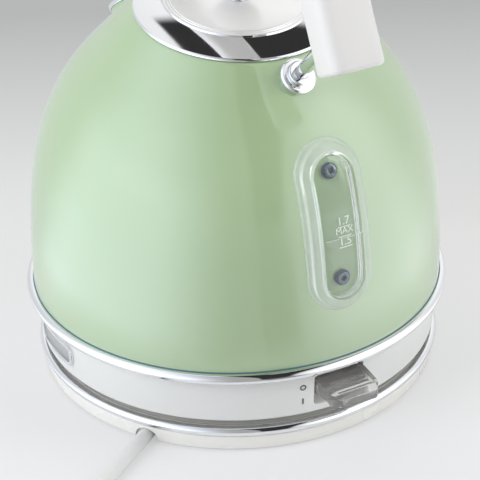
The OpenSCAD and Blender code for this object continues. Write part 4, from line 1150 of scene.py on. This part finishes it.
# handle
print("handle")
handle = {"top": 257.5, "w": 25.0, "t": 20.0, "round": 6.0, "archR": 80.0, "flat": 39.4, "lean": 27.0,
          "rear": 25.0, "front": 18.0, "endRound": 2.2, "rodR": 3.0, "rodLow": -6.1, "rodFootY": 58.8,
          "rodGrip": 11.0, "ferruleR": 8.0, "ferruleFit": 0.05}
archZ = handle["top"] - handle["t"] / 2 - handle["archR"]
leanCos, leanSin = cos(radians(handle["lean"])), sin(radians(handle["lean"]))
tailY = handle["flat"] / 2 + handle["archR"] * leanCos
tailZ = archZ + handle["archR"] * leanSin
rodFootZ = neckZ + dome["neckR"] - handle["rodFootY"]
rodReach = ((tailY - handle["rodFootY"]) * leanCos + (tailZ - rodFootZ) * leanSin - handle["t"] / 2) / (
    rootHalf * (leanCos + leanSin))


# stations along the middle of the grip: place on the Y-Z plane, direction of its inner side, and inset
def gripStations():
    stations = []
    e, quarter = handle["endRound"], [pi / 2 * k / 8 for k in range(9)]
    for side, tail in ((-1, handle["rear"]), (1, handle["front"])):
        inward, down = (-side * leanCos, -leanSin), (side * leanSin, -leanCos)
        row = [(tail - e + e * cos(a), e * (1 - sin(a))) for a in quarter]
        row += [((tail - e) * (1 - k / 5), 0.0) for k in range(1, 6)]
        part = [(side * tailY + down[0] * d, tailZ + down[1] * d, inward, inset) for d, inset in row]
        for k in range(1, 41):
            a = radians(handle["lean"] + (90 - handle["lean"]) * k / 40)
            part.append((side * (handle["flat"] / 2 + handle["archR"] * cos(a)),
                         archZ + handle["archR"] * sin(a), (-side * cos(a), -sin(a)), 0.0))
        stations.append(part)
    flat = [(handle["flat"] * (k / 10 - 0.5), archZ + handle["archR"], (0.0, -1.0), 0.0)
            for k in range(1, 10)]
    return stations[0] + flat + stations[1][::-1]


def makeGrip():
    loops = []
    for y, z, inward, inset in gripStations():
        loop = roundedRect(handle["w"] - 2 * inset, handle["t"] - 2 * inset, handle["round"] - inset * 0.9, 8)
        loops.append([(x, y - inward[0] * out, z - inward[1] * out) for x, out in loop])
    return loft("grip_bow", loops)


finished(makeGrip(), "satinWhite", "kettle", "handle_grip", angle=40)

for side, word in ((-1, "rear"), (1, "front")):
    place = shift(0, side * handle["rodFootY"], rodFootZ) @ turnX(-side * 45)
    r, rodR, neck = handle["ferruleR"], handle["rodR"], handle["ferruleR"] * 0.7
    hole = rodR + handle["ferruleFit"]
    collar = lathe(word + "_collar", softened([
        (hole, -0.5, 0), (r, -0.5, 0), (r, 2.1, 0.4), (r - 0.8, 2.8, 0.3), (neck, 2.8, 0.2), (neck, 5.6, 0.6),
        (hole, 5.6, 0.15)], 0.3), place, 96)
    finished(collar, "chrome", "kettle", word + "_ferrule")
    low, high = handle["rodLow"], rodReach + handle["rodGrip"]
    bar = softened([(0, low, 0), (rodR, low, 0.4), (rodR, high, 0.3), (0, high, 0)], 0.3)
    finished(lathe(word + "_bar", bar, place, 64), "chrome", "kettle", word + "_rod")


# lid
print("lid")
lid = {"r": 46.0, "stepR": 33.0, "edge": 1.2, "bandRise": 3.4, "crown": 1.7, "lift": 0.6, "t": 0.8,
       "grooves": (31.3, 30.2), "grooveR": 0.28, "innerR": 29.0, "knobR": 12.0, "knobH": 15.0, "knobGap": 5.1,
       "knobFlat": 0.45, "knobMiddle": 0.52, "knobSwell": 0.48}
lidFrame = shift(0, -dome["lidShift"], dome["lidZ"]) @ turnX(dome["lidTilt"])
stepH = lid["edge"] + lid["bandRise"]
collarZ = stepH + lid["lift"] + lid["crown"] + 0.1


def onCrown(r, down=0.0):
    return r, stepH + lid["lift"] + lid["crown"] * (1 - (r / (lid["stepR"] - 0.4)) ** 2) - down


def makeLidCover():
    r, edge, step, g = lid["r"], lid["edge"], lid["stepR"], lid["grooveR"]
    outline = [(r - 1.2, -0.1, 0), (r, -0.1, 0.2), (r, edge - 0.4, 0.4), (r - 0.6, edge + 0.05, 0.3),
               (step + 0.3, stepH - 0.05, 0.15), (step + 0.05, stepH - 0.3, 0.1),
               (step - 0.35, onCrown(step - 0.4)[1], 0.25)]
    for at in lid["grooves"]:
        outline += [(*onCrown(at + g), 0.05), (*onCrown(at, g), 0.06), (*onCrown(at - g), 0.05)]
    outline += [(*onCrown(lid["innerR"] * (1 - k / 24)), 0) for k in range(25)]
    outline += [(*onCrown(lid["innerR"] * k / 12, lid["t"]), 0) for k in range(13)]
    outline += [(step - 0.3, stepH - lid["t"], 0), (r - 1.6, edge - lid["t"], 0)]
    return lathe("lid_dish", softened(outline, 0.2, 3), lidFrame, 288)


lidCover = finished(makeLidCover(), "lidChrome", "lid", "lid_cover", angle=40)
lidCover.data.materials.append(looks["lidDisc"])
toLid = lidFrame.inverted()
for face in lidCover.data.polygons:
    at = toLid @ (face.center * 1000)
    face.material_index = int(hypot(at.x, at.y) < lid["stepR"] - 0.3)

stem = [(2.1, 0, 0), (6.6, 0, 0.2), (6.0, 1.6, 0.5), (3.8, 1.6, 0.6), (3.8, 5, 0.3), (2.1, 5, 0)]
stem = lathe("knob_stem", softened(stem, 0.3), lidFrame @ shift(0, 0, collarZ), 96)
finished(stem, "chrome", "lid", "knob_collar")


def makeKnob():
    r, h = lid["knobR"], lid["knobH"]
    outline = [(0, 0), (r * lid["knobFlat"], 0)]
    for a in [radians(a) for a in range(-50, 91, 5)]:
        outline.append((r * cos(a), max(0, h * (lid["knobMiddle"] + lid["knobSwell"] * sin(a)))))
    return lathe("knob_ball", outline, lidFrame @ shift(0, 0, collarZ + lid["knobGap"]), 96)


finished(makeKnob(), "satinWhite", "lid", "knob", angle=50)
refined("lid", ("lid_plug", "beige", 0.3), ("lid_seal", "silicone", 0.1), ("knob_screw", "zinc", 0.3))


# filter: a frame with a wire mesh
print("filter")
sieve = {"w": 31.8, "l": 35.8, "pitch": 1.6, "wire": 0.22, "lean": 30.0, "along": 8.6, "sink": -1.5}
refined("filter", ("filter_frame", "white", 0.4))


def sieveTree():
    tree, given = newGroup("wireSieve", [
        ("Geometry", "Geometry"), ("Width", "Float"), ("Length", "Float"), ("Pitch", "Float"),
        ("Wire", "Float"), ("Metal", "Material")], [("Geometry", "Geometry")], "GeometryNodeTree")
    both = addNode(tree, "GeometryNodeJoinGeometry")
    ring = addNode(tree, "GeometryNodeCurvePrimitiveCircle", {"Resolution": 6, "Radius": given["Wire"]})

    def times(value, factor):
        return mathNode(tree, "MULTIPLY", value, factor)

    def ends(axis, half, lift):
        return [addNode(tree, "CombineXYZ", {axis: value, 2: lift}) for value in (times(half, -1.0), half)]

    for x, across, along, high in ((0, "Width", "Length", 0.9), (1, "Length", "Width", -0.9)):
        count = mathNode(tree, "FLOOR", mathNode(tree, "DIVIDE", given[across], given["Pitch"]))
        start, stop = ends(x, times(given[across], 0.48), times(given["Wire"], high))
        row = addNode(tree, "GeometryNodeMeshLine", {"Count": count, "Start Location": start, "Offset": stop},
                      mode="END_POINTS")
        start, stop = ends(1 - x, times(given[along], 0.5), 0.0)
        wire = addNode(tree, "GeometryNodeCurvePrimitiveLine", {"Start": start, "End": stop})
        skin = addNode(tree, "GeometryNodeCurveToMesh",
                       {"Curve": wire, "Profile Curve": ring, "Fill Caps": True})
        spread = addNode(tree, "GeometryNodeInstanceOnPoints", {"Points": row, "Instance": skin})
        link(tree, spread.outputs[0], both.inputs[0])
    ended(tree, both, given["Metal"])
    return tree


def makeSieve():
    obj = addMesh("filter_wires", [(0, 0, 0)], [], welded=False)
    grown(obj, sieveTree(), Width=sieve["w"], Length=sieve["l"], Pitch=sieve["pitch"], Wire=sieve["wire"],
          Metal=looks["steel"])
    rise, along = radians(spout["rise"]), sieve["along"]
    root = shift(0, spoutY + along * cos(rise), spoutZ + along * sin(rise))
    place = root @ turnX(sieve["lean"] - 90) @ shift(0, 0, sieve["sink"])
    for v in obj.data.vertices:
        v.co = (place @ v.co) * 0.001
    return obj


finished(makeSieve(), "steel", "filter", "filter_mesh")

print("finish")
